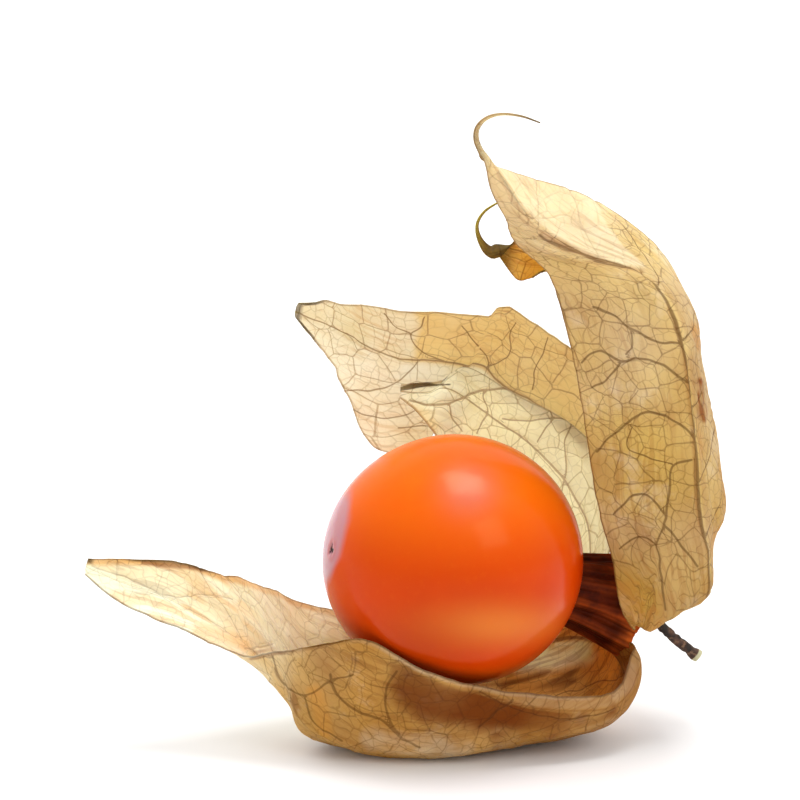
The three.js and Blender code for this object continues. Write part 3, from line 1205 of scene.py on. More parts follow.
    def relief(self, sheet: Sheet, main: VeinField, cells: VeinField) -> np.ndarray:
        """Return the heights off the sheet: swells, long wrinkles and raised veins.

        Args:
            sheet: The sepal's sheet.
            main: Its main veins.
            cells: The cells between them.

        Returns:
            A height for each point, in millimetres.
        """
        long = (0.35, 1.0)
        swell = sheet.mottle(4.6, self.seed) + 0.5 * sheet.mottle(2.1, self.seed + 5)
        wrinkle = sheet.mottle(1.1, self.seed + 6, long) + 0.5 * sheet.mottle(0.5, self.seed + 7, long)
        ridge = 0.07 * bell(main.reach() / 1.8)
        pillow = 0.035 * smooth(6.0, 0.0, cells.reach())
        return self.calm(sheet) * (self.swell * swell + self.wrinkle * wrinkle + ridge + pillow)

    def build(self) -> bpy.types.Object:
        """Make the sheet, its veins and creases, and its material.

        Returns:
            The finished piece.
        """
        sheet = self.middle()
        main, cells = self.main_veins(sheet), self.cell_veins(sheet)
        height = self.relief(sheet, main, cells) + self.shaping(sheet)
        grid = sheet.grid + sheet_normals(sheet.grid) * height[..., None]
        points, faces = shell(grid, self.wall * np.clip(sheet.first_edge[:, -1:] / 2.0, 0.35, 1.0))
        points[:, 2] = np.maximum(points[:, 2], SITE.floor)
        traits = {"border": np.tile(sheet.border.ravel(), 2)}
        for mask in (self.pale, self.amber, self.brown, self.char, self.fibrous):
            traits[mask.__name__] = np.tile(np.clip(mask(sheet), 0.0, 1.0).ravel(), 2)
        for name, veins in (("main_veins", main), ("cell_veins", cells)):
            traits[name] = np.tile(veins.trait().reshape(-1, 3), (2, 1))
        surface = Surface(points, faces, traits, np.tile(sheet.flat.reshape(-1, 2), (2, 1)))
        piece = surface.to_object(self.node + "_membrane")
        finish_piece(piece, self.node, self.finish.material())
        return piece


TAN_HUSK = HuskFinish(
    "tan_membrane", tint="caa84e", pale="f4ead0", amber="d8963c", brown="84440a", vein="573410",
    main_strength=0.64, cell_strength=0.44, net_strength=0.36, faint=0.25, gloss=0.1,
)
BOAT_HUSK = HuskFinish(
    "boat_membrane", tint="c49c52", pale="f0eed2", amber="e0a040", brown="6c3002", vein="4c2a0c",
    main_strength=0.54, cell_strength=0.36, net_strength=0.34, gloss=0.05, flush=(1.0, 0.84, 0.6),
)
AMBER_HUSK = HuskFinish(
    "amber_membrane", tint="c8a65c", pale="e4cc90", amber="c89e4a", brown="84440a", char="38320e",
    glow=0.8, depth=0.0006,
)
BACK_HUSK = HuskFinish(
    "back_membrane", tint="c8be9a", pale="e0d6c0", amber="d0b476", brown="a0702c", vein="6a5024",
    net_strength=0.32, faint=0.9, glow=0.8, depth=0.0006, flush=(1.0, 0.9, 0.76),
)
# A paler, warmer copy of the back membrane: partly the inner sepal's own colour, partly painted light that
# brightens the shade it lies in.
INNER_HUSK = replace(BACK_HUSK, name="inner_membrane", tint="d8ca98", pale="eee0b2", glow=0.9, depth=0.0008)


@dataclass
class FrontSepal(Sepal):
    """The boat-shaped sepal that the berry lies in, from the husk's base round to its free tip."""

    node: str = "front_sepal"
    slot: Slot = Slot.TAN
    finish: HuskFinish = BOAT_HUSK
    base: tuple[float, ...] = (122, 143, 165, 185, 202)
    stations: Stations = (
        ((13.0, -0.9, -6.7), (13.35, -0.2, -8.7), (12.6, 2.6, -10.1), (12.0, 5.9, -9.0), (11.6, 7.8, -6.2)),
        ((11.4, -4.0, -8.9), (11.15, -3.1, -11.15), (10.2, 1.0, -12.35), (9.6, 5.8, -11.0), (9.2, 8.9, -6.4)),
        ((5.2, -6.4, -8.2), (5.4, -4.9, -11.85), (5.2, 0.6, -13.65), (5.0, 5.8, -12.6), (4.8, 9.0, -7.4)),
        ((0.9, -7.3, -7.0), (0.8, -5.6, -12.5), (0.7, 0.5, -13.9), (0.7, 5.9, -12.7), (0.6, 8.8, -7.4)),
        ((-2.8, -7.6, -5.6), (-2.8, -5.9, -12.45), (-2.8, 0.5, -13.9), (-2.8, 5.9, -12.4), (-2.9, 8.4, -7.0)),
        ((-6.6, -7.0, -3.8), (-6.8, -5.6, -12.0), (-6.8, 0.3, -13.6), (-6.8, 4.6, -11.0), (-6.8, 7.8, -6.3)),
        ((-10.7, -5.8, -4.6), (-10.85, -4.5, -10.9), (-10.6, -0.4, -12.35), (-10.6, 3.0, -9.0),
         (-10.9, 5.8, -4.8)),
        ((-12.7, -5.2, -5.1), (-12.0, -4.0, -8.75), (-11.9, -0.5, -9.9), (-12.5, 2.4, -6.9),
         (-12.9, 4.8, -3.65)),
        ((-15.4, -4.4, -5.5), (-14.9, -2.8, -6.4), (-14.7, -0.6, -6.4), (-15.0, 1.8, -4.6),
         (-15.4, 3.5, -2.4)),
        ((-20.0, -3.2, -4.0), (-20.0, -2.0, -3.6), (-20.0, -0.5, -2.8), (-20.0, 0.9, -1.8),
         (-20.0, 2.0, -0.7)),
        ((-24.0, -2.0, -2.55), (-24.0, -1.3, -2.1), (-24.0, -0.5, -1.5), (-24.0, 0.4, -0.8),
         (-24.0, 1.0, -0.2)),
        ((-26.4, -0.7, -0.9), (-26.4, -0.4, -0.8), (-26.4, -0.2, -0.5), (-26.3, 0.0, -0.2),
         (-26.2, 0.2, 0.1)),
    )
    seed: int = 3
    rows: int = 310
    columns: int = 150
    crease: float = 0.15
    laterals: tuple[float, ...] = (1.0,)
    wrinkle: float = 0.10
    rib_width: float = 0.07
    drawn_veins: VeinLines = (
        (0.11, ((-8.8, -7.9), (-8.4, -9.2), (-7.7, -10.0), (-6.4, -10.7), (-5.1, -11.2), (-3.9, -12.4),
                (-2.5, -13.1))),
        (0.10, ((-4.1, -7.6), (-4.9, -8.9), (-4.9, -10.3), (-4.5, -11.5), (-3.9, -12.4))),
        (0.09, ((4.0, -9.8), (2.6, -10.8), (1.6, -11.7))),
        (0.05, ((1.6, -9.2), (4.0, -10.3), (6.9, -11.0), (9.7, -11.0), (11.4, -10.5))),
        (0.10, ((-15.0, -6.4), (-13.4, -6.2), (-11.8, -5.9), (-10.0, -5.8), (-8.0, -5.5))),
        (0.08, ((-12.9, -6.6), (-12.2, -8.4), (-10.6, -9.4), (-8.9, -8.4), (-7.2, -7.9))),
        (0.08, ((-10.6, -9.4), (-10.0, -11.4), (-8.0, -12.6))),
        (0.07, ((-26.0, -0.4), (-23.6, -1.2), (-20.6, -2.4), (-18.0, -2.6), (-16.0, -2.9))),
        (0.16, ((7.2, -6.3), (8.8, -6.05), (10.4, -6.3))),
    )

    def drawn_side(self, sheet: Sheet) -> np.ndarray:
        """Return the near flank, the whole of the free arm, and the hollow below the collar."""
        hollow = (sheet.left > 5.0) & (sheet.up > -7.0)
        return (sheet.across < 0.0) | (sheet.left < -13.0) | hollow

    def pale(self, sheet: Sheet) -> np.ndarray:
        """Return painted highlights along the rim, in the hollow and at the bow's end, and the
        bleached arm, whose paleness on the far wall inside the free end is partly painted light.

        Args:
            sheet: The sepal's sheet.

        Returns:
            A share for each point, clamped to 0 and 1 later.
        """
        # The far wall inside the free end: partly bleached, partly painted light.
        inside = 0.8 * smooth(-5.5, -8.5, sheet.left) * smooth(0.2, 3.5, sheet.across)
        arm = smooth(-10.0, -14.0, sheet.left) * (0.66 + 0.34 * smooth(0.9, -0.3, sheet.across))
        below = smooth(-0.1, 0.3, sheet.first_edge) * smooth(-15.6, -14.2, sheet.left)
        below = below * smooth(0.6, -0.4, sheet.across)
        arm = arm * (1.0 - 0.85 * below) * np.interp(sheet.left, [-20.0, -14.0], [1.0, 0.8])
        arm = np.maximum(arm, inside) * (1.0 - 0.7 * smooth(0.7, 0.2, sheet.last_edge))
        # Painted highlight along the rolled rim, and a wider one towards the base.
        rim = 0.5 * smooth(0.34, 0.14, sheet.first_edge)
        rim = rim * smooth(-9.0, -4.0, sheet.left) * smooth(11.5, 9.0, sheet.left)
        wide_rim_highlight = 0.25 * smooth(1.0, 0.6, sheet.first_edge) * smooth(2.0, 6.0, sheet.left)
        # Painted highlight on the fold in the hollow, and painted light on the hollow's floor below it.
        painted_glint = sheet.mark(((7.6, -6.55), (10.0, -6.55)), 0.16) * (sheet.across > 0.0)
        streak = sheet.mark(((5.0, -7.7), (7.5, -7.5), (9.6, -7.0)), 0.75) * (sheet.across > 0.0)
        streak = np.clip(streak * (0.85 + 0.35 * sheet.mottle(0.7, 95, (0.3, 1.6))), 0.0, 1.0)
        # Painted highlight at the bow's end.
        painted_bow_highlight = 0.45 * sheet.mark(((12.7, -7.6), (12.4, -8.9), (11.5, -9.7)), 0.34) * (sheet.across < 0.0)
        bleached = 0.5 * sheet.mark(((-5.8, -12.6), (-3.0, -13.1), (0.6, -13.3)), 0.7)
        bleached = bleached * (0.75 + 0.4 * sheet.mottle(0.7, 98)) * smooth(0.5, -0.5, sheet.across)
        near = smooth(4.0, -0.6, sheet.across) * smooth(-14.0, -10.0, sheet.left)
        spots = 0.3 + 0.35 * sheet.mottle(3.0, self.seed + 31)
        far_spots = spots * (1.0 - 0.9 * near) * (1.0 - smooth(2.0, 5.0, sheet.left))
        return most(far_spots, arm + 0.2 * spots, rim, wide_rim_highlight, painted_glint, streak, painted_bow_highlight, bleached)

    def amber(self, sheet: Sheet) -> np.ndarray:
        """Return the golden base, a flush over the boat and its hollow, and the arm's golden streaks.

        Args:
            sheet: The sepal's sheet.

        Returns:
            A share for each point, clamped to 0 and 1 later.
        """
        base = 0.9 * smooth(3.5, 0.5, sheet.along)
        boat = 0.3 * smooth(-10.0, -6.0, sheet.left) * smooth(0.5, -0.5, sheet.across)
        lit = sheet.mark(((5.0, -7.7), (7.5, -7.5), (9.4, -7.0)), 0.8)
        hollow = (0.45 + 0.55 * smooth(9.2, 11.0, sheet.left)) * smooth(2.0, 6.0, sheet.left)
        hollow = hollow * smooth(-0.4, 0.8, sheet.across) * (1.0 - 0.9 * lit)
        edge = 0.3 * smooth(-12.0, -15.0, sheet.left) * smooth(0.8, 0.2, sheet.last_edge)
        facet = 0.45 * sheet.mark(((-18.2, -5.0), (-15.4, -6.2)), 0.5)
        streaks = 0.35 * smooth(0.0, 0.5, sheet.mottle(0.8, 97, (0.3, 1.3)))
        streaks = streaks * smooth(-13.0, -16.0, sheet.left)
        yellow = 0.5 * sheet.mark(((-9.9, -9.2), (-9.4, -10.8), (-9.2, -12.0)), 0.5)
        yellow = yellow * smooth(0.4, -0.4, sheet.across)
        gold = most(boat, hollow, edge, facet, streaks, yellow)
        return np.maximum(base, gold + 0.12 * sheet.mottle(2.6, self.seed + 41))

    def brown(self, sheet: Sheet) -> np.ndarray:
        """Return painted shade under the rim and along the bottom of the near flank, painted
        shadow lines under the rim and in the arm's crease, the dark hollow behind the berry and the small
        scars.

        Args:
            sheet: The sepal's sheet.

        Returns:
            A share for each point, clamped to 0 and 1 later.
        """
        near = smooth(4.0, -0.5, sheet.across)
        blots = 0.16 * sheet.mottle(1.5, self.seed + 46) + 0.12 * sheet.mottle(0.5, self.seed + 47)
        below_rim = sheet.first_edge - np.interp(sheet.left, [-4.0, 2.0, 6.0], [0.15, 0.4, 0.9])
        # Painted shade on the near flank, which faces down, mottled by blots.
        patch = np.maximum(
            sheet.mark(((-3.2, -8.6), (-1.4, -9.6), (1.4, -10.2), (4.4, -10.7), (7.0, -10.9)), 1.65),
            sheet.mark(((4.0, -10.0), (8.0, -9.9), (10.4, -9.5), (12.2, -8.4)), 0.5),
        )
        patch = np.clip(patch + 4.0 * blots * patch * (1.0 - patch), 0.0, 1.0) * near
        patch = patch * smooth(-0.2, 0.25, below_rim)
        # Painted shade along the bottom.
        keel_shade = 0.8 * sheet.mark(((3.0, -12.7), (6.0, -12.0), (9.0, -11.3), (11.0, -10.5)), 0.75) * near
        keel_shade = keel_shade * (0.9 + 0.4 * sheet.mottle(1.1, self.seed + 49))
        # Painted shadow under the rolled rim.
        rim_shadow = 0.8 * bell(below_rim / 0.18) * near * smooth(-2.0, 2.0, sheet.left)
        # The near flank browner overall: partly its own brown, partly painted shade.
        low = (0.38 + 0.24 * smooth(-2.0, 8.0, sheet.left)) * near * smooth(-13.5, -9.0, sheet.left)
        curl = 0.55 * sheet.mark(((-22.3, -0.25), (-20.2, -0.5), (-18.0, -0.8)), 0.14)
        back = 0.12 * smooth(5.0, 10.0, sheet.left) * smooth(-0.6, 0.6, sheet.across)
        fibres = smooth(-0.1, 0.5, sheet.mottle(0.6, 96, (0.3, 1.6))) * (sheet.across > 0.0)
        fibres = 0.7 * fibres * sheet.mark(((4.0, -9.2), (6.6, -9.1), (9.8, -8.8)), 0.55)
        # Painted shade in the crease between the arm and the boat.
        fold = 0.55 * sheet.mark(((-14.4, -6.7), (-12.0, -6.3), (-9.4, -5.9), (-7.6, -5.5)), 0.1) * near
        scars = 0.6 * sheet.mark(((-11.6, -9.0), (-11.2, -10.2), (-10.9, -11.4)), 0.22)
        scars = scars * smooth(-0.4, 0.3, sheet.mottle(0.6, 94, (1.6, 0.6))) * near
        stains = most(0.92 * np.maximum(patch, keel_shade), low, back, curl, rim_shadow, fibres, fold, scars)
        return stains + 0.14 * sheet.mottle(2.2, self.seed + 43) - 0.05

    def cell_veins(self, sheet: Sheet) -> VeinField:
        """Return the polygons, thinned away in the hollow behind the berry.

        Args:
            sheet: The sepal's sheet.

        Returns:
            The nearest of their walls to each point.
        """
        veins = super().cell_veins(sheet)
        hollow = smooth(3.0, 6.0, sheet.left) * smooth(0.0, 0.8, sheet.across)
        veins.vectors = veins.vectors * (1.0 + 2.5 * hollow)[..., None]
        return veins

    def fibrous(self, sheet: Sheet) -> np.ndarray:
        """Return how strongly long fibres show: most in the hollow behind the berry."""
        hollow = smooth(1.0, 5.0, sheet.left) * smooth(-0.5, 0.5, sheet.across)
        return np.maximum(super().fibrous(sheet), 1.5 * hollow)

    def char(self, sheet: Sheet) -> np.ndarray:
        """Return the dark rolled stretch of the arm's far edge and its dead tip.

        Args:
            sheet: The sepal's sheet.

        Returns:
            A share for each point, clamped to 0 and 1 later.
        """
        roll = smooth(0.28, 0.1, sheet.last_edge) * sheet.mark(((-22.3, -0.2), (-18.5, -0.4)), 0.9)
        end = smooth(sheet.length - 0.7, sheet.length - 0.2, sheet.along)
        return np.maximum(0.6 * roll, 0.8 * (end * smooth(0.6, 0.2, sheet.last_edge)))

    def shaping(self, sheet: Sheet) -> np.ndarray:
        """Return the rim rolled outwards along the near edge.

        Args:
            sheet: The sepal's sheet.

        Returns:
            A height for each point, in millimetres.
        """
        width = np.interp(sheet.left, [-2.0, 5.0], [0.5, 0.9])
        roll = np.clip(1.0 - sheet.first_edge / width, 0.0, 1.0) ** 2
        return -0.45 * width * roll * smooth(-10.0, -5.0, sheet.left) * smooth(0.5, 3.0, sheet.along)


@dataclass
class BackSepal(Sepal):
    """The broad pale sepal behind the berry."""

    node: str = "back_sepal"
    slot: Slot = Slot.PALE
    finish: HuskFinish = BACK_HUSK
    base: tuple[float, ...] = (-119, -106, -94, -81, -68)
    stations: Stations = (
        ((11.5, 9.7, -3.8), (11.9, 10.1, -3.0), (12.2, 10.3, -2.3), (12.6, 10.1, -1.4), (12.9, 9.5, -0.7)),
        ((11.3, 12.7, 1.8), (11.4, 12.8, 2.2), (11.5, 12.9, 2.5), (12.8, 12.9, 4.5), (13.6, 12.4, 5.7)),
        ((8.75, 12.85, 5.6), (8.9, 12.9, 5.95), (9.1, 13.0, 6.25), (10.5, 12.9, 8.7), (11.0, 12.4, 10.35)),
        ((3.5, 12.85, 8.9), (3.7, 13.0, 9.25), (3.9, 13.1, 9.55), (5.2, 12.9, 12.3), (5.9, 12.0, 14.7)),
        ((0.5, 12.6, 10.3), (0.75, 12.85, 10.7), (1.0, 13.0, 11.05), (1.9, 12.7, 13.1), (2.6, 11.75, 15.3)),
        ((-2.2, 10.8, 5.2), (-2.1, 11.8, 8.5), (-1.8, 12.6, 11.6), (-1.4, 12.2, 13.8), (-0.9, 11.3, 15.6)),
        ((-5.9, 9.3, 5.9), (-5.0, 10.9, 9.1), (-4.0, 12.0, 11.95), (-4.1, 11.7, 14.0), (-4.0, 10.9, 15.85)),
        ((-8.4, 9.2, 10.7), (-7.5, 10.4, 12.0), (-6.7, 11.2, 13.2), (-6.8, 11.0, 15.0), (-6.9, 10.4, 16.4)),
        ((-11.4, 9.3, 15.5), (-11.55, 9.5, 15.7), (-11.55, 9.7, 16.0), (-11.45, 9.6, 16.4),
         (-11.25, 9.5, 16.75)),
    )
    seed: int = 17
    rows: int = 230
    columns: int = 150
    laterals: tuple[float, ...] = (-1.0,)
    crease: float = 0.45
    cell: float = 2.1
    drawn_veins: VeinLines = (
        (0.07, ((-5.1, 17.8), (-4.2, 16.8), (-3.1, 16.3))),
        (0.07, ((-2.1, 17.5), (-2.4, 16.8), (-3.1, 16.3), (-2.9, 15.5), (-1.9, 14.8), (-0.6, 14.2))),
        (0.07, ((0.6, 16.9), (1.6, 15.6), (2.4, 14.6), (2.6, 13.8), (2.4, 12.6))),
        (0.06, ((4.6, 17.1), (4.1, 16.3), (4.2, 15.1), (3.8, 14.4), (2.6, 13.8))),
        (0.07, ((-7.8, 16.3), (-6.8, 15.3), (-5.3, 14.7), (-3.8, 14.3))),
        (0.06, ((6.9, 16.0), (6.6, 14.8), (6.0, 13.6), (5.9, 12.2))),
    )

    def drawn_side(self, sheet: Sheet) -> np.ndarray:
        """Return the part above the fold."""
        return sheet.across > 0.0

    def edge_shift(self, along: np.ndarray, edge: int) -> np.ndarray:
        """Return the usual wear, with one tooth left standing on the upper edge, and a chip in each.

        Args:
            along: Length along the midrib of each row.
            edge: 0 for the first edge, 1 for the last.

        Returns:
            The wear at each row, in millimetres.
        """
        worn = super().edge_shift(along, edge)
        if edge == 0:
            return 1.8 * worn + 0.75 * bell((along - 33.4) / 0.8)
        tooth = 0.6 * smooth(20.5, 23.1, along) * smooth(23.7, 23.35, along)
        return worn - tooth - 0.35 * bell((along - 35.3) / 0.9)

    def pale(self, sheet: Sheet) -> np.ndarray:
        """Return random bleaching, and painted light below the fold, where the sheet faces up."""
        # The last term is painted light below the fold.
        return 0.35 + 0.35 * sheet.mottle(3.0, self.seed + 31) + 0.4 * smooth(0.5, -0.5, sheet.across)

    def amber(self, sheet: Sheet) -> np.ndarray:
        """Return painted shade, in gold, above and along the fold, and faint golden stains.

        Args:
            sheet: The sepal's sheet.

        Returns:
            A share for each point, clamped to 0 and 1 later.
        """
        # Painted shade: the golden half above the fold, and a golden line along it.
        painted_shade_zone = smooth(-3.0, -2.2, sheet.left + 0.5 * sheet.mottle(1.5, 77)) * smooth(-0.1, 0.25, sheet.across)
        fold = 0.6 * bell(sheet.across / 0.22) * smooth(-6.0, -3.0, sheet.left)
        stain = 0.2 * smooth(0.1, 0.6, sheet.mottle(3.0, self.seed + 41))
        return most(painted_shade_zone * (0.85 + 0.15 * sheet.mottle(2.0, 79)), fold, stain)

    def brown(self, sheet: Sheet) -> np.ndarray:
        """Return the faint brown stains and a painted shadow line along the fold."""
        # Painted shadow line in the fold.
        fold = 0.5 * bell(sheet.across / 0.12) * smooth(-5.0, -2.0, sheet.left)
        return np.maximum(0.3 * sheet.mottle(2.5, self.seed + 43) - 0.12, fold)

    def char(self, sheet: Sheet) -> np.ndarray:
        """Return the dark edges at the tip.

        Args:
            sheet: The sepal's sheet.

        Returns:
            A share for each point, clamped to 0 and 1 later.
        """
        near_tip = smooth(sheet.length - 3.6, sheet.length - 1.0, sheet.along)
        end = smooth(sheet.length - 0.7, sheet.length - 0.3, sheet.along)
        return np.maximum(0.9 * near_tip * smooth(0.28, 0.12, sheet.border), 0.85 * end)


@dataclass
class InnerSepal(Sepal):
    """The narrow pale sepal between the berry and the back sepal, its upper edge along that one's fold."""

    node: str = "inner_sepal"
    slot: Slot = Slot.PALE
    finish: HuskFinish = INNER_HUSK
    base: tuple[float, ...] = (-147, -142, -137, -131, -126)
    stations: Stations = (
        ((9.2, 7.2, -6.6), (9.6, 7.8, -6.0), (10.0, 8.2, -5.4), (10.5, 8.5, -4.7), (11.0, 8.7, -4.0)),
        ((6.6, 9.2, -3.6), (8.2, 10.2, -1.8), (9.9, 10.9, -0.2), (11.3, 11.2, 1.2), (12.3, 11.3, 2.2)),
        ((3.6, 9.7, -0.4), (5.2, 10.9, 2.0), (6.8, 11.7, 4.4), (8.3, 12.0, 5.7), (9.2, 12.1, 6.55)),
        ((1.0, 9.4, 3.1), (2.2, 10.3, 5.35), (3.2, 11.3, 7.3), (3.9, 11.8, 8.5), (4.4, 12.2, 9.3)),
        ((-1.4, 8.0, 7.2), (-0.8, 9.2, 8.7), (-0.2, 10.3, 9.95), (0.4, 11.2, 10.9), (1.0, 11.8, 11.3)),
        ((-2.9, 8.8, 8.8), (-2.4, 9.4, 9.35), (-1.9, 10.0, 9.75), (-1.3, 10.5, 10.15), (-0.7, 10.9, 10.5)),
        ((-3.9, 9.3, 9.55), (-3.9, 9.5, 9.75), (-3.9, 9.7, 9.95), (-3.9, 9.9, 10.15), (-3.9, 10.1, 10.35)),
    )
    seed: int = 29
    rows: int = 190
    columns: int = 90
    laterals: tuple[float, ...] = ()
    ragged: float = 0.08
    cell: float = 1.9
    drawn_veins: VeinLines = (
        (0.12, ((-3.1, 11.4), (-1.8, 11.1), (-0.4, 11.2), (1.4, 11.9), (3.4, 12.3), (4.6, 12.1))),
        (0.09, ((3.6, 10.1), (4.9, 9.9), (7.3, 10.1), (8.8, 9.9))),
        (0.08, ((-0.4, 11.2), (-0.1, 10.1), (0.6, 9.2))),
        (0.08, ((1.6, 9.0), (2.4, 10.6), (2.1, 11.6), (2.4, 12.1))),
        (0.08, ((6.2, 8.4), (6.8, 9.4), (7.3, 10.1), (6.9, 11.2))),
        (0.08, ((8.0, 4.6), (8.4, 6.4), (8.2, 8.2), (8.8, 9.9))),
    )

    def pale(self, sheet: Sheet) -> np.ndarray:
        """Return random bleaching, and painted light that brightens the shade near the tip and along the
        upper edge.

        Args:
            sheet: The sepal's sheet.

        Returns:
            A share for each point, clamped to 0 and 1 later.
        """
        # Painted light where the back sepal shades this one: near the tip and along the upper edge.
        tip = smooth(2.5, -0.5, sheet.left)
        rim = 0.8 * smooth(1.6, 0.4, sheet.last_edge)
        return most(0.25 + 0.3 * sheet.mottle(3.0, self.seed + 31), tip, rim)

    def amber(self, sheet: Sheet) -> np.ndarray:
        """Return a golden stain by the lower edge near the tip."""
        stain = sheet.mark(((-2.6, 10.4), (-1.6, 9.6)), 0.5)
        return np.maximum(0.55 * stain, 0.15 * sheet.mottle(3.0, self.seed + 41))

    def brown(self, sheet: Sheet) -> np.ndarray:
        """Return the brown line of the lower edge near the tip."""
        return 0.6 * smooth(0.25, 0.08, sheet.first_edge) * smooth(1.5, -0.5, sheet.left)

    def char(self, sheet: Sheet) -> np.ndarray:
        """Return the dark rolled sliver along the tip's upper edge.

        Args:
            sheet: The sepal's sheet.

        Returns:
            A share for each point, clamped to 0 and 1 later.
        """
        sliver = ((-3.93, 12.2), (-2.4, 12.5), (-0.3, 12.5))
        gap = np.linalg.norm(line_vectors(sheet.front, sliver), axis=-1)
        thick = np.interp(sheet.left, [-4.0, -3.0, -1.8, -0.3], [0.12, 0.2, 0.12, 0.05])
        return 0.95 * smooth(1.2, 0.8, gap / thick)

    def shaping(self, sheet: Sheet) -> np.ndarray:
        """Return the roll of the tip's upper edge."""
        roll = np.clip(1.0 - sheet.last_edge / 0.4, 0.0, 1.0) ** 2
        return -0.25 * roll * smooth(0.6, -0.6, sheet.left)


@dataclass
class NearSepal(Sepal):
    """The tall sepal: from its torn base up over the fold along its midrib to a long curled tip."""

    node: str = "near_sepal"
    slot: Slot = Slot.TAN
    finish: HuskFinish = TAN_HUSK
    base: tuple[float, ...] = (112, 88, 62, 36, 12)
    stations: Stations = (
        ((11.8, -0.8, -3.3), (14.1, -0.9, -4.9), (17.7, 0.2, -3.15), (18.05, 2.0, -2.35), (17.8, 4.3, -1.8)),
        ((11.1, -1.0, 0.3), (14.4, -2.3, 0.2), (18.1, -1.0, 0.2), (18.6, 2.2, 0.6), (18.3, 5.5, 0.8)),
        ((10.0, -1.3, 4.8), (13.7, -2.7, 4.7), (17.2, -1.8, 4.4), (19.4, 1.8, 3.4), (18.9, 5.5, 4.2)),
        ((9.1, -1.5, 10.0), (12.9, -2.9, 9.9), (16.9, -2.0, 9.3), (18.6, 1.6, 8.2), (18.7, 5.3, 8.6)),
        ((8.3, -1.5, 14.4), (12.3, -2.8, 14.8), (16.3, -2.0, 14.8), (17.6, 1.2, 13.8), (17.5, 4.9, 13.6)),
        ((7.15, -1.4, 19.2), (10.8, -2.5, 19.8), (14.6, -1.9, 19.6), (16.75, 1.0, 18.35), (16.5, 4.7, 18.0)),
        ((6.2, -1.2, 21.4), (9.5, -2.0, 21.6), (12.5, -1.6, 21.6), (14.0, 1.2, 21.65), (14.55, 4.1, 21.85)),
        ((3.95, -0.8, 23.5), (6.4, -1.4, 23.0), (8.6, -1.2, 22.6), (10.4, 1.6, 24.3), (10.95, 3.6, 24.85)),
        ((3.45, -0.4, 25.0), (4.3, -0.8, 24.9), (5.4, -0.9, 24.9), (7.2, 1.5, 26.05), (7.8, 2.4, 26.6)),
        ((2.35, 0.0, 27.0), (3.0, -0.2, 27.1), (3.6, -0.2, 27.3), (4.15, 0.6, 27.6), (4.7, 1.4, 27.75)),
    )
    thread: Line = (
        (2.15, 0.4, 28.9, 0.28), (1.65, 0.5, 29.6, 0.25), (1.35, 0.7, 30.4, 0.23), (1.45, 0.9, 31.2, 0.21),
        (2.1, 1.1, 31.85, 0.17), (3.2, 1.3, 32.1, 0.12), (4.6, 1.5, 31.9, 0.09), (5.9, 1.7, 31.4, 0.05),
    )
    seed: int = 41
    rows: int = 400
    columns: int = 115
    laterals: tuple[float, ...] = (1.0,)
    crease: float = 0.6
    rib_width: float = 0.18
    torn: float = 4.6
    ragged: float = 0.12
    cell: float = 1.9
    rib_end: float = 0.72
    drawn_veins: VeinLines = (
        (0.12, ((17.0, 12.6), (15.9, 12.9), (14.5, 13.9), (12.7, 14.3), (11.5, 14.1), (10.7, 14.6))),
        (0.10, ((10.7, 14.6), (10.0, 14.9), (9.3, 14.6), (8.8, 14.0))),
        (0.10, ((11.5, 14.1), (10.7, 13.0), (9.6, 12.3))),
        (0.12, ((16.9, 8.6), (16.2, 9.4), (14.7, 10.3), (13.4, 10.6), (12.4, 10.1), (11.5, 9.3))),
        (0.10, ((11.5, 9.3), (10.6, 8.6), (10.0, 7.8))),
        (0.06, ((15.2, 7.0), (14.2, 7.2), (13.4, 7.5), (12.1, 8.1), (12.4, 9.5))),
        (0.11, ((16.6, 7.2), (15.6, 7.0), (15.1, 6.4), (15.0, 4.8), (14.9, 3.3), (14.7, 2.6), (14.2, 1.1))),
        (0.12, ((14.2, 1.1), (14.5, -0.1), (14.7, -1.4), (15.1, -3.6))),
        (0.10, ((14.9, 3.3), (14.2, 4.1), (13.4, 4.8), (12.5, 4.7), (11.9, 4.1), (11.2, 3.3))),
        (0.10, ((14.7, 2.6), (15.4, 1.9), (16.2, 0.9), (17.2, -0.4))),
        (0.09, ((14.2, 1.1), (13.5, 1.7), (12.6, 1.6), (11.7, 0.9))),
        (0.11, ((15.5, 15.4), (14.0, 15.6), (12.3, 16.4), (10.9, 17.4), (9.6, 17.9))),
        (0.09, ((12.3, 16.4), (12.4, 15.2), (11.9, 14.6))),
        (0.13, ((5.9, 23.0), (6.5, 22.5), (7.9, 21.9), (10.2, 21.0), (12.5, 20.6), (13.7, 20.4))),
        (0.08, ((4.9, 24.4), (6.0, 24.1), (7.8, 24.4), (9.0, 23.4))),
    )

    def drawn_side(self, sheet: Sheet) -> np.ndarray:
        """Return the flat near panel, and the lit facet above the fold."""
        return (sheet.across < 0.2) | (sheet.up > 22.0)

    def pale(self, sheet: Sheet) -> np.ndarray:
        """Return painted light on the facet above the fold, which faces up, and a paler strip beside the
        midrib.

        Args:
            sheet: The sepal's sheet.

        Returns:
            A share for each point, clamped to 0 and 1 later.
        """
        bound = np.interp(sheet.up, [20.9, 22.3, 23.4, 24.5, 26.1], [13.4, 11.8, 11.0, 10.3, 9.9])
        # Painted light on the upward facet above the fold.
        facet = smooth(19.9, 21.2, sheet.up) * smooth(-0.1, 0.3, sheet.across)
        facet = facet * smooth(0.25, -0.25, sheet.left - bound)
        strip = 0.05 * smooth(0.0, 0.6, sheet.across)
        spots = 0.12 + 0.16 * smooth(7.0, 17.0, sheet.up) + 0.15 * sheet.mottle(3.6, self.seed + 31)
        # The facet and the top above it carry painted light.
        return most(0.58 * facet, 0.46 * smooth(23.3, 25.0, sheet.up), strip + spots)

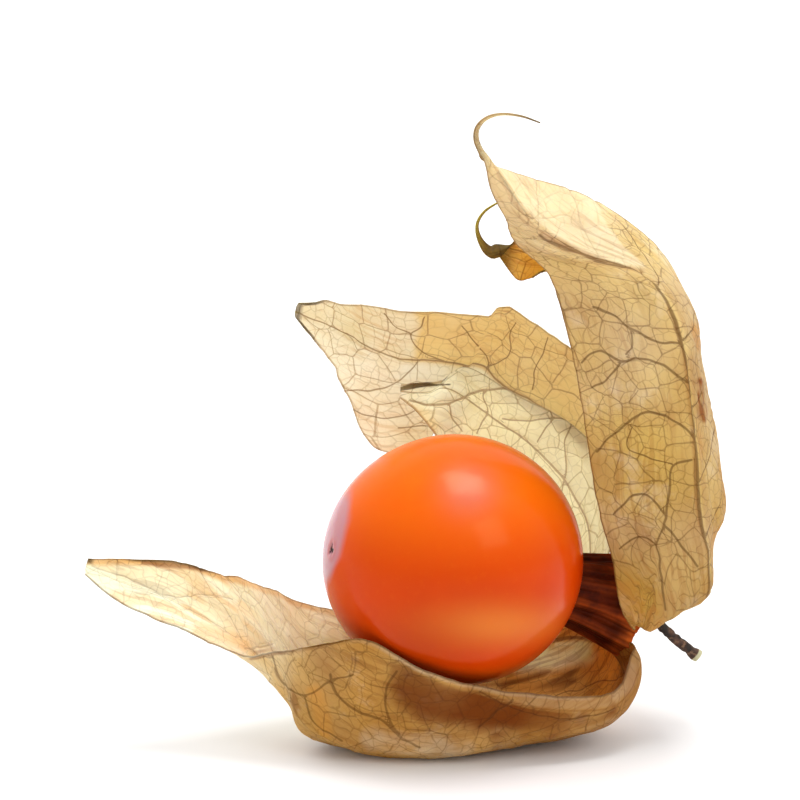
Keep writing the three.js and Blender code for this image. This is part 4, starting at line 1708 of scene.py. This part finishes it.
    def amber(self, sheet: Sheet) -> np.ndarray:
        """Return the golden torn base and a flush beside the midrib.

        Args:
            sheet: The sepal's sheet.

        Returns:
            A share for each point, clamped to 0 and 1 later.
        """
        ragged = 0.5 * sheet.mottle(0.9, 85) + 0.25 * sheet.mottle(0.35, 86)
        base = sheet.mark(((12.0, -2.2), (12.8, -3.8), (13.8, -4.8)), 0.9)
        base = 0.4 * smooth(0.2, 0.8, base + ragged * (base > 0.02))
        flush = 0.4 * smooth(0.2, 0.8, sheet.across) * smooth(0.0, 0.6, sheet.mottle(2.8, 83))
        return np.maximum(base, flush)

    def brown(self, sheet: Sheet) -> np.ndarray:
        """Return the darker panel towards the base, the midrib's painted shadow line, the painted
        shadow under the fold and a scorch.

        Args:
            sheet: The sepal's sheet.

        Returns:
            A share for each point, clamped to 0 and 1 later.
        """
        panel = (0.16 + 0.24 * smooth(11.0, -2.0, sheet.up)) * smooth(0.5, -0.3, sheet.across)
        # Painted shadow line beside the midrib.
        rib = 0.5 * bell((sheet.across + 0.15) / 0.25) * smooth(19.5, 16.0, sheet.up)
        strip = 0.36 * smooth(0.1, 0.6, sheet.across) * smooth(22.5, 18.0, sheet.up)
        streak = 0.4 * sheet.mark(((11.8, -2.6), (13.4, -4.6)), 0.5)
        # Painted shadow under the overhanging fold.
        fold = 0.4 * sheet.mark(((6.0, 23.0), (7.9, 22.0), (10.2, 21.05), (13.0, 20.5)), 0.22)
        scorch = sheet.mark(((17.25, 12.6), (17.5, 11.2), (17.55, 10.2)), 0.36)
        scorch = scorch * smooth(0.1, 0.3, sheet.across)
        scorch = scorch * np.clip(0.85 + 0.5 * sheet.mottle(0.5, 87, (0.6, 1.4)), 0.0, 1.0)
        scorch = scorch * smooth(4.5, 2.5, sheet.across)
        return most(panel, rib, strip, streak, fold, scorch) + 0.14 * sheet.mottle(2.4, self.seed + 43)

    def char(self, sheet: Sheet) -> np.ndarray:
        """Return the greying end of the curled tip, and a grey stretch before it."""
        stretch = smooth(7.5, 6.0, sheet.to_tip) * smooth(3.6, 5.2, sheet.to_tip)
        return 0.75 * smooth(2.6, 0.4, sheet.to_tip) + 0.35 * stretch


@dataclass
class FarSepal(Sepal):
    """The near sepal's neighbour, mostly hidden, with a hooked tip."""

    node: str = "far_sepal"
    slot: Slot = Slot.AMBER
    finish: HuskFinish = AMBER_HUSK
    base: tuple[float, ...] = (7, -10, -27, -44, -60)
    stations: Stations = (
        ((17.4, 4.5, -2.0), (17.2, 6.4, -2.0), (16.2, 7.8, -2.0), (14.8, 8.4, -1.6), (13.2, 8.4, -0.6)),
        ((18.0, 5.5, 0.6), (17.8, 7.4, 0.8), (16.8, 8.7, 1.0), (14.8, 9.2, 1.4), (13.0, 8.9, 1.8)),
        ((18.8, 5.5, 4.2), (18.5, 7.3, 4.2), (17.4, 8.6, 4.3), (14.6, 8.9, 4.6), (12.2, 8.5, 4.9)),
        ((18.6, 5.3, 8.6), (18.3, 7.0, 8.6), (17.0, 8.2, 8.8), (14.0, 8.5, 9.0), (11.4, 8.1, 9.3)),
        ((17.4, 4.9, 13.6), (17.1, 6.5, 13.7), (15.8, 7.6, 14.0), (13.0, 7.9, 14.2), (10.4, 7.5, 14.4)),
        ((16.0, 4.7, 17.8), (15.4, 6.1, 17.9), (13.8, 7.0, 18.0), (11.3, 7.2, 18.1), (9.0, 6.9, 18.1)),
        ((12.4, 4.4, 21.2), (11.6, 5.5, 20.9), (10.0, 6.2, 20.4), (8.4, 6.2, 20.0), (6.8, 5.8, 19.8)),
        ((5.8, 4.0, 23.5), (5.6, 4.8, 22.5), (5.3, 5.2, 21.4), (5.0, 5.0, 20.2), (4.6, 4.7, 19.3)),
    )
    thread: Line = (
        (3.1, 4.3, 21.6, 0.62), (2.25, 4.1, 21.65, 0.5), (1.65, 3.9, 22.6, 0.25),
        (1.5, 3.7, 23.7, 0.15), (2.05, 3.5, 24.7, 0.11), (3.2, 3.3, 25.5, 0.06),
    )
    seed: int = 53
    rows: int = 300
    columns: int = 80
    ragged: float = 0.3

    def amber(self, sheet: Sheet) -> np.ndarray:
        """Return a golden base and strong orange near the lower edge by the hook: partly the sheet's
        own colour, partly painted shade with painted light shining through.
        """
        hook = smooth(sheet.length - 14.0, sheet.length - 9.0, sheet.along)
        # Partly painted shade and light through the sheet: its inside face is seen in shade.
        return 0.35 + 0.5 * hook + 0.25 * sheet.mottle(2.0, self.seed + 41)

    def char(self, sheet: Sheet) -> np.ndarray:
        """Return the dark hook."""
        return 0.85 * smooth(7.2, 5.6, sheet.to_tip)


# ---------------------------------------------------------------- berry, collar and stem


def round_angles(count: int) -> np.ndarray:
    """Return evenly spread angles round a full turn, without the last that repeats the first."""
    return np.linspace(0.0, 2.0 * np.pi, count, endpoint=False)


def closed_tube(points: np.ndarray, traits: dict[str, np.ndarray]) -> Surface:
    """Close rings of points into a body, with the first and last ring shrunk to one point each.

    Args:
        points: Rings by points round, by three. The end rings' points coincide.
        traits: One number per point, by name.

    Returns:
        The surface, with triangles at the poles.
    """
    rings, columns = points.shape[:2]
    inner = points[1:-1].reshape(-1, 3)
    poles = np.stack([points[0, 0], points[-1, 0]])
    body = grid_faces(rings - 2, columns, around=True)
    ring = np.arange(columns)
    following = np.roll(ring, -1)
    low, high = len(inner), len(inner) + 1
    last = (rings - 3) * columns
    fans = np.concatenate([
        np.stack([np.full(columns, low), ring, following], axis=-1),
        np.stack([np.full(columns, high), last + following, last + ring], axis=-1),
    ])
    merged = {
        name: np.concatenate([values[1:-1].ravel(), [values[0, 0], values[-1, 0]]])
        for name, values in traits.items()
    }
    return Surface(np.concatenate([inner, poles]), body, merged, fans=fans)


@dataclass
class Berry:
    """The round orange fruit with its dimple and the scar of its style.

    Attributes:
        length: Length along its axis, in millimetres, as its other lengths are.
        width: Width across its axis.
        axis: Direction from the style's scar to the stem.
        dimple: Depth of the dimple at the stem's end.
        dimple_radius: Radius of that dimple.
        swell: Share that the full side is pushed out by.
        full_side: Direction of the full side.
        scar_radius: Radius of the scar's pit.
        scar_depth: Depth of the pit.
        ring_radius: Radius of the raised ring round the pit.
        ring_height: Height of that ring.
        rows: Mesh points along.
        columns: Mesh points round.
    """

    length: float = 18.4
    width: float = 17.9
    axis: tuple[float, float, float] = (8.57, 2.9, -1.6)
    dimple: float = 0.35
    dimple_radius: float = 1.6
    swell: float = 0.035
    full_side: tuple[float, float, float] = (-0.97, 0.0, -0.25)
    scar_radius: float = 0.28
    scar_depth: float = 0.14
    ring_radius: float = 0.62
    ring_height: float = 0.03
    rows: int = 170
    columns: int = 280

    def marks(self, points: np.ndarray) -> dict[str, np.ndarray]:
        """Return the masks of the skin's colours.

        Args:
            points: The skin's points, in millimetres from the berry's centre.

        Returns:
            The ripe top with painted light from below, a painted reflection of the floor and a
            painted shade patch low on the front, and a painted lilac reflection on the scar's end
            with a painted dull highlight.
        """
        x = points[..., 0]
        up, towards = front_view(points)
        facing = smooth(0.0, 3.0, towards)
        height = points[..., 2] / (self.width / 2.0)
        # Painted reflection of the bright floor, low on the front.
        painted_floor_reflection = bell((x - 2.8) / 5.0, (up + 4.3) / 1.6) * facing
        # Painted shade, low on the front and to the left.
        painted_shade_patch = bell((x + 2.8) / 4.0, (up + 6.0) / 2.8) * facing
        # Painted highlight where the overhead light's reflection falls.
        highlight = bell((x - 0.9) / 1.9, (up - 5.2) / 1.7) * (towards > 0.0)
        # Painted lilac reflection round the scar's end.
        apart = np.hypot((up - 1.8) / 3.7, (towards - 1.9) / 3.3) + 0.12 * noise(points[..., 1:], 1.6, 19)
        painted_lilac_sheen = smooth(0.98, 0.74, apart) * (x < 0.0)
        return {
            # Ripe top, and painted light from below near the bottom.
            "ripe_top_painted_light_below": np.maximum(smooth(-0.1, 1.0, height), 0.7 * smooth(-0.6, -0.95, height)),
            "painted_floor_reflection": 0.8 * painted_floor_reflection,
            "painted_shade": 0.42 * painted_shade_patch,
            "painted_lilac_sheen": np.maximum(0.7 * painted_lilac_sheen, 0.26 * highlight),
        }

    def build(self) -> bpy.types.Object:
        """Make the berry as an ellipse turned about its axis, with faint lobes.

        The half length times minus the cosine of an angle gives the place on the axis, and
        the half width times its sine gives the radius. A dimple sinks the stem's end, and
        a pit with a small raised ring marks the style at the other. Points towards the full
        side are pushed out by the swell's share times the cosine of their angle, squared.

        Returns:
            The finished piece.
        """
        axis = unit(np.array(self.axis))
        up, beside = across_frame(axis)
        angle = np.linspace(0.0, np.pi, self.rows)[:, None]
        turn = round_angles(self.columns)[None, :]
        radius = self.width / 2.0 * np.sin(angle)
        free_end = angle < np.pi / 2.0
        ragged = 1.0 + 0.35 * np.cos(3.0 * turn + 0.8) + 0.2 * np.cos(5.0 * turn)
        pit = bell(radius / (self.scar_radius * ragged)) * free_end
        ring = bell((radius - self.ring_radius) / 0.22) * free_end
        sunk = self.dimple * bell(radius / self.dimple_radius) * ~free_end
        height = -self.length / 2.0 * np.cos(angle) - sunk
        height = height + self.scar_depth * pit - self.ring_height * ring
        lobes = 1.0 + 0.005 * np.sin(angle) * np.cos(2.0 * turn + 0.6)
        lobes = lobes + 0.002 * np.sin(angle) * np.cos(5.0 * turn)
        points = (
            height[..., None] * axis
            + (radius * lobes * np.cos(turn))[..., None] * up
            + (radius * lobes * np.sin(turn))[..., None] * beside
        )
        fullness = np.clip(unit(points) @ unit(np.array(self.full_side)), 0.0, 1.0) ** 2
        points = points * (1.0 + self.swell * fullness)[..., None]
        style = {"scar": smooth(0.25, 0.6, pit) + 0.0 * turn, "seam": 0.35 * ring + 0.0 * turn}
        piece = closed_tube(points, style | self.marks(points)).to_object("berry_skin")
        finish_piece(piece, "berry", BerryFinish().material())
        return piece


@dataclass
class Collar:
    """The husk's sunken base: a ribbed cone that runs in to the berry.

    Attributes:
        start: Distance of its inner end from the berry's centre, in millimetres.
        end: Distance of its outer end.
        radius_start: Radius of the inner end.
        radius_end: Radius of the outer end.
        ribs: Number of ribs round it.
        rib_height: Height of a rib.
        streaks: Fine streaks for each rib.
        streak_height: Height of a streak.
        wall: Thickness.
        rows: Mesh points along.
        columns: Mesh points round.
    """

    start: float = 8.7
    end: float = 13.6
    radius_start: float = 2.5
    radius_end: float = 3.75
    ribs: int = 11
    rib_height: float = 0.3
    streaks: int = 4
    streak_height: float = 0.07
    wall: float = 0.2
    rows: int = 90
    columns: int = 360

    def build(self) -> bpy.types.Object:
        """Make the cone as circles of growing radius, folded into ribs.

        A cosine of the angle times the number of ribs gives the ribs, and a finer one the
        streaks. Slow noise makes both wander.

        Returns:
            The finished piece.
        """
        along = np.linspace(0.0, 1.0, self.rows)[:, None]
        turn = round_angles(self.columns)[None, :]
        places = np.stack([4.0 * np.cos(turn) + 0.0 * along, 4.0 * np.sin(turn) + 1.6 * along], axis=-1)
        wander = noise(places, 1.1, 7)
        ridge = 0.5 + 0.5 * np.cos(self.ribs * turn + 1.1 * wander)
        fine = 0.5 + 0.5 * np.cos(self.ribs * self.streaks * turn + 3.0 * wander)
        radius = self.radius_start + (self.radius_end - self.radius_start) * along**1.2
        radius = radius + self.rib_height * (ridge - 0.5) + self.streak_height * (fine - 0.5) + 0.1 * wander
        centre = (self.start + (self.end - self.start) * along)[..., None] * HUSK_AXIS
        outward = np.cos(turn)[..., None] * RING_UP + np.sin(turn)[..., None] * RING_NEAR
        outer = centre + radius[..., None] * outward
        inner = centre + (radius - self.wall)[..., None] * outward
        loop = np.concatenate([outer, inner[::-1]])
        faces = grid_faces(2 * self.rows + 1, self.columns, around=True) % (2 * self.rows * self.columns)
        shades = {
            "ridge": np.clip(0.42 * ridge**2 + 0.36 * fine * ridge, 0.0, 1.0),
            "outer": smooth(0.72, 1.0, along) * (0.55 + 0.45 * fine),
        }
        traits = {name: np.concatenate([shade, shade[::-1]]).ravel() for name, shade in shades.items()}
        piece = Surface(loop.reshape(-1, 3), faces, traits).to_object("calyx_collar_cone")
        finish_piece(piece, "calyx_collar", CollarFinish().material())
        return piece


@dataclass
class Stem:
    """The short cut stem, running out through the collar.

    Attributes:
        radius: Its radius, in millimetres.
        on_axis: Distances along the husk's axis of its root and of its place in the collar.
        free_end: Its points beyond the collar.
        rows: Mesh points along.
        columns: Mesh points round.
    """

    radius: float = 0.36
    on_axis: tuple[float, float] = (9.3, 13.0)
    free_end: Line = ((14.5, 3.7, -5.6), (16.0, 4.0, -7.05), (17.75, 4.2, -8.5))
    rows: int = 150
    columns: int = 40

    def build(self) -> bpy.types.Object:
        """Make the stem as circles carried along its line, closed at its root and its cut end.

        The radius flares at both ends and is roughened by noise. At the cut end, circles
        shrink to the middle over a shallow dish.

        Returns:
            The finished piece.
        """
        line = np.array([*(HUSK_AXIS * distance for distance in self.on_axis), *self.free_end])
        along = np.linspace(0.0, 1.0, self.rows)
        path = spline_weights(len(line), along) @ line
        ahead, side, up = path_frame(path)
        turn = round_angles(self.columns)
        flare = 0.12 * smooth(0.9, 1.0, along) + 0.3 * smooth(0.25, 0.0, along)
        places = np.stack(np.broadcast_arrays(30.0 * along[:, None], 2.0 * np.cos(turn)), axis=-1)
        radius = self.radius + flare[:, None] + 0.045 * noise(places, 1.0, 5)
        rim = np.cos(turn)[None, :, None] * up[:, None] + np.sin(turn)[None, :, None] * side[:, None]
        body = path[:, None] + radius[..., None] * rim
        shrink = np.array([0.9, 0.6, 0.3, 0.0])[:, None, None]
        dish = np.array([0.03, -0.02, -0.05, -0.05])[:, None, None]
        cap = path[-1] + ahead[-1] * dish + (body[-1] - path[-1]) * shrink
        root = path[0] + (body[0] - path[0]) * shrink[::-1]
        loop = np.concatenate([root, body, cap])
        cut = np.zeros(loop.shape[:2])
        cut[-9:] = 1.0
        piece = closed_tube(loop, {"cut": cut}).to_object("cut_stem")
        finish_piece(piece, "stem", StemFinish().material())
        return piece


# ---------------------------------------------------------------- studio


@dataclass(frozen=True)
class Lamp:
    """A rectangular soft light.

    Attributes:
        name: The light's name.
        place: Its place, in metres from the berry's centre.
        width: One side, in metres.
        height: The other side.
        radiance: Its brightness.
        tint: Its colour.
        mirrored: Whether shiny skin reflects it.
    """

    name: str
    place: tuple[float, float, float]
    width: float
    height: float
    radiance: float
    tint: tuple[float, float, float] = (1.0, 1.0, 1.0)
    mirrored: bool = True

    def hang(self) -> None:
        """Make the light face the berry. Its power is pi times its radiance and its area."""
        data = bpy.data.lights.new(self.name, "AREA")
        data.shape = "RECTANGLE"
        data.size = self.width
        data.size_y = self.height
        data.energy = math.pi * self.radiance * self.width * self.height
        data.color = self.tint
        lamp = bpy.data.objects.new(self.name, data)
        lamp.location = SITE.centre + np.array(self.place)
        lamp.rotation_mode = "QUATERNION"
        lamp.rotation_quaternion = (-Vector(self.place)).to_track_quat("-Z", "Y")
        lamp.visible_camera = False
        lamp.visible_glossy = self.mirrored
        bpy.context.scene.collection.objects.link(lamp)


@dataclass
class Studio:
    """The pale floor, the soft lights and the camera.

    Attributes:
        elevation: How many degrees the camera looks down.
        lens: Its focal length, in millimetres.
        sensor: The width of its sensor, in millimetres.
        field_width: The width that it sees at the berry, in millimetres.
        aim: What it looks at, in millimetres right of and above the berry's centre in its view.
        room: Brightness of the room.
        floor_half: Half the floor's side, in metres.
        lamps: The lights.
    """

    elevation: float = LEAN
    lens: float = 200.0
    sensor: float = 36.0
    field_width: float = 57.14
    aim: tuple[float, float] = (-3.93, 11.43)
    room: float = 0.84
    floor_half: float = 3.0
    lamps: tuple[Lamp, ...] = (
        Lamp("overhead_key", (0.07, 0.02, 0.5), 0.22, 0.22, 9.0),
        Lamp("front_fill", (0.30, -0.34, 0.34), 0.24, 0.24, 3.0),
        Lamp("window", (-0.30, 0.42, 0.20), 0.42, 0.5, 2.5, (0.94, 0.94, 1.0), mirrored=False),
    )

    def floor(self) -> None:
        """Lay a wide, plain floor at the height of the surface."""
        half = self.floor_half
        corners = [(-half, -half, 0), (half, -half, 0), (half, half, 0), (-half, half, 0)]
        mesh = bpy.data.meshes.new("floor")
        mesh.from_pydata(corners, [], [(0, 1, 2, 3)])
        plane = bpy.data.objects.new("floor", mesh)
        bpy.context.scene.collection.objects.link(plane)
        material, n, shader = new_material("pale_floor")
        colour = n.mix(n.noise(n.place(), 6.0, 2.0), (0.88, 0.88, 0.88, 1), (0.92, 0.92, 0.92, 1))
        n.fill(shader, {"Base Color": colour, "Roughness": 0.7})
        mesh.materials.append(material)

    def camera(self) -> None:
        """Stand the camera so that the berry's plane fills the field width."""
        tilt = math.radians(self.elevation)
        distance = self.field_width * self.lens / self.sensor * MM
        right = np.array([1.0, 0.0, 0.0])
        up = np.array([0.0, math.sin(tilt), math.cos(tilt)])
        ahead = np.array([0.0, math.cos(tilt), -math.sin(tilt)])
        data = bpy.data.cameras.new("camera")
        data.lens = self.lens
        data.sensor_width = self.sensor
        data.clip_start = 0.01
        data.clip_end = 20.0
        camera = bpy.data.objects.new("camera", data)
        camera.location = SITE.centre + self.aim[0] * MM * right + self.aim[1] * MM * up - ahead * distance
        camera.rotation_mode = "QUATERNION"
        camera.rotation_quaternion = Vector(ahead).to_track_quat("-Z", "Y")
        bpy.context.scene.collection.objects.link(camera)
        bpy.context.scene.camera = camera

    def world(self) -> None:
        """Fill the room with a soft white light."""
        world = bpy.data.worlds.new("room")
        world.use_nodes = True
        background = world.node_tree.nodes["Background"]
        background.inputs[0].default_value = (1.0, 1.0, 1.0, 1.0)
        background.inputs[1].default_value = self.room
        bpy.context.scene.world = world

    def build(self) -> None:
        """Set up the whole studio."""
        self.floor()
        self.world()
        for lamp in self.lamps:
            lamp.hang()
        self.camera()
        bpy.context.scene.view_settings.view_transform = "Standard"


def main() -> None:
    """Build the fruit piece by piece."""
    logging.basicConfig(level=logging.INFO, format="%(name)s: %(message)s")
    for part in (Studio, Berry, Collar, Stem, FrontSepal, BackSepal, InnerSepal, NearSepal, FarSepal):
        part().build()
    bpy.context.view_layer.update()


if __name__ == "__main__":
    main()
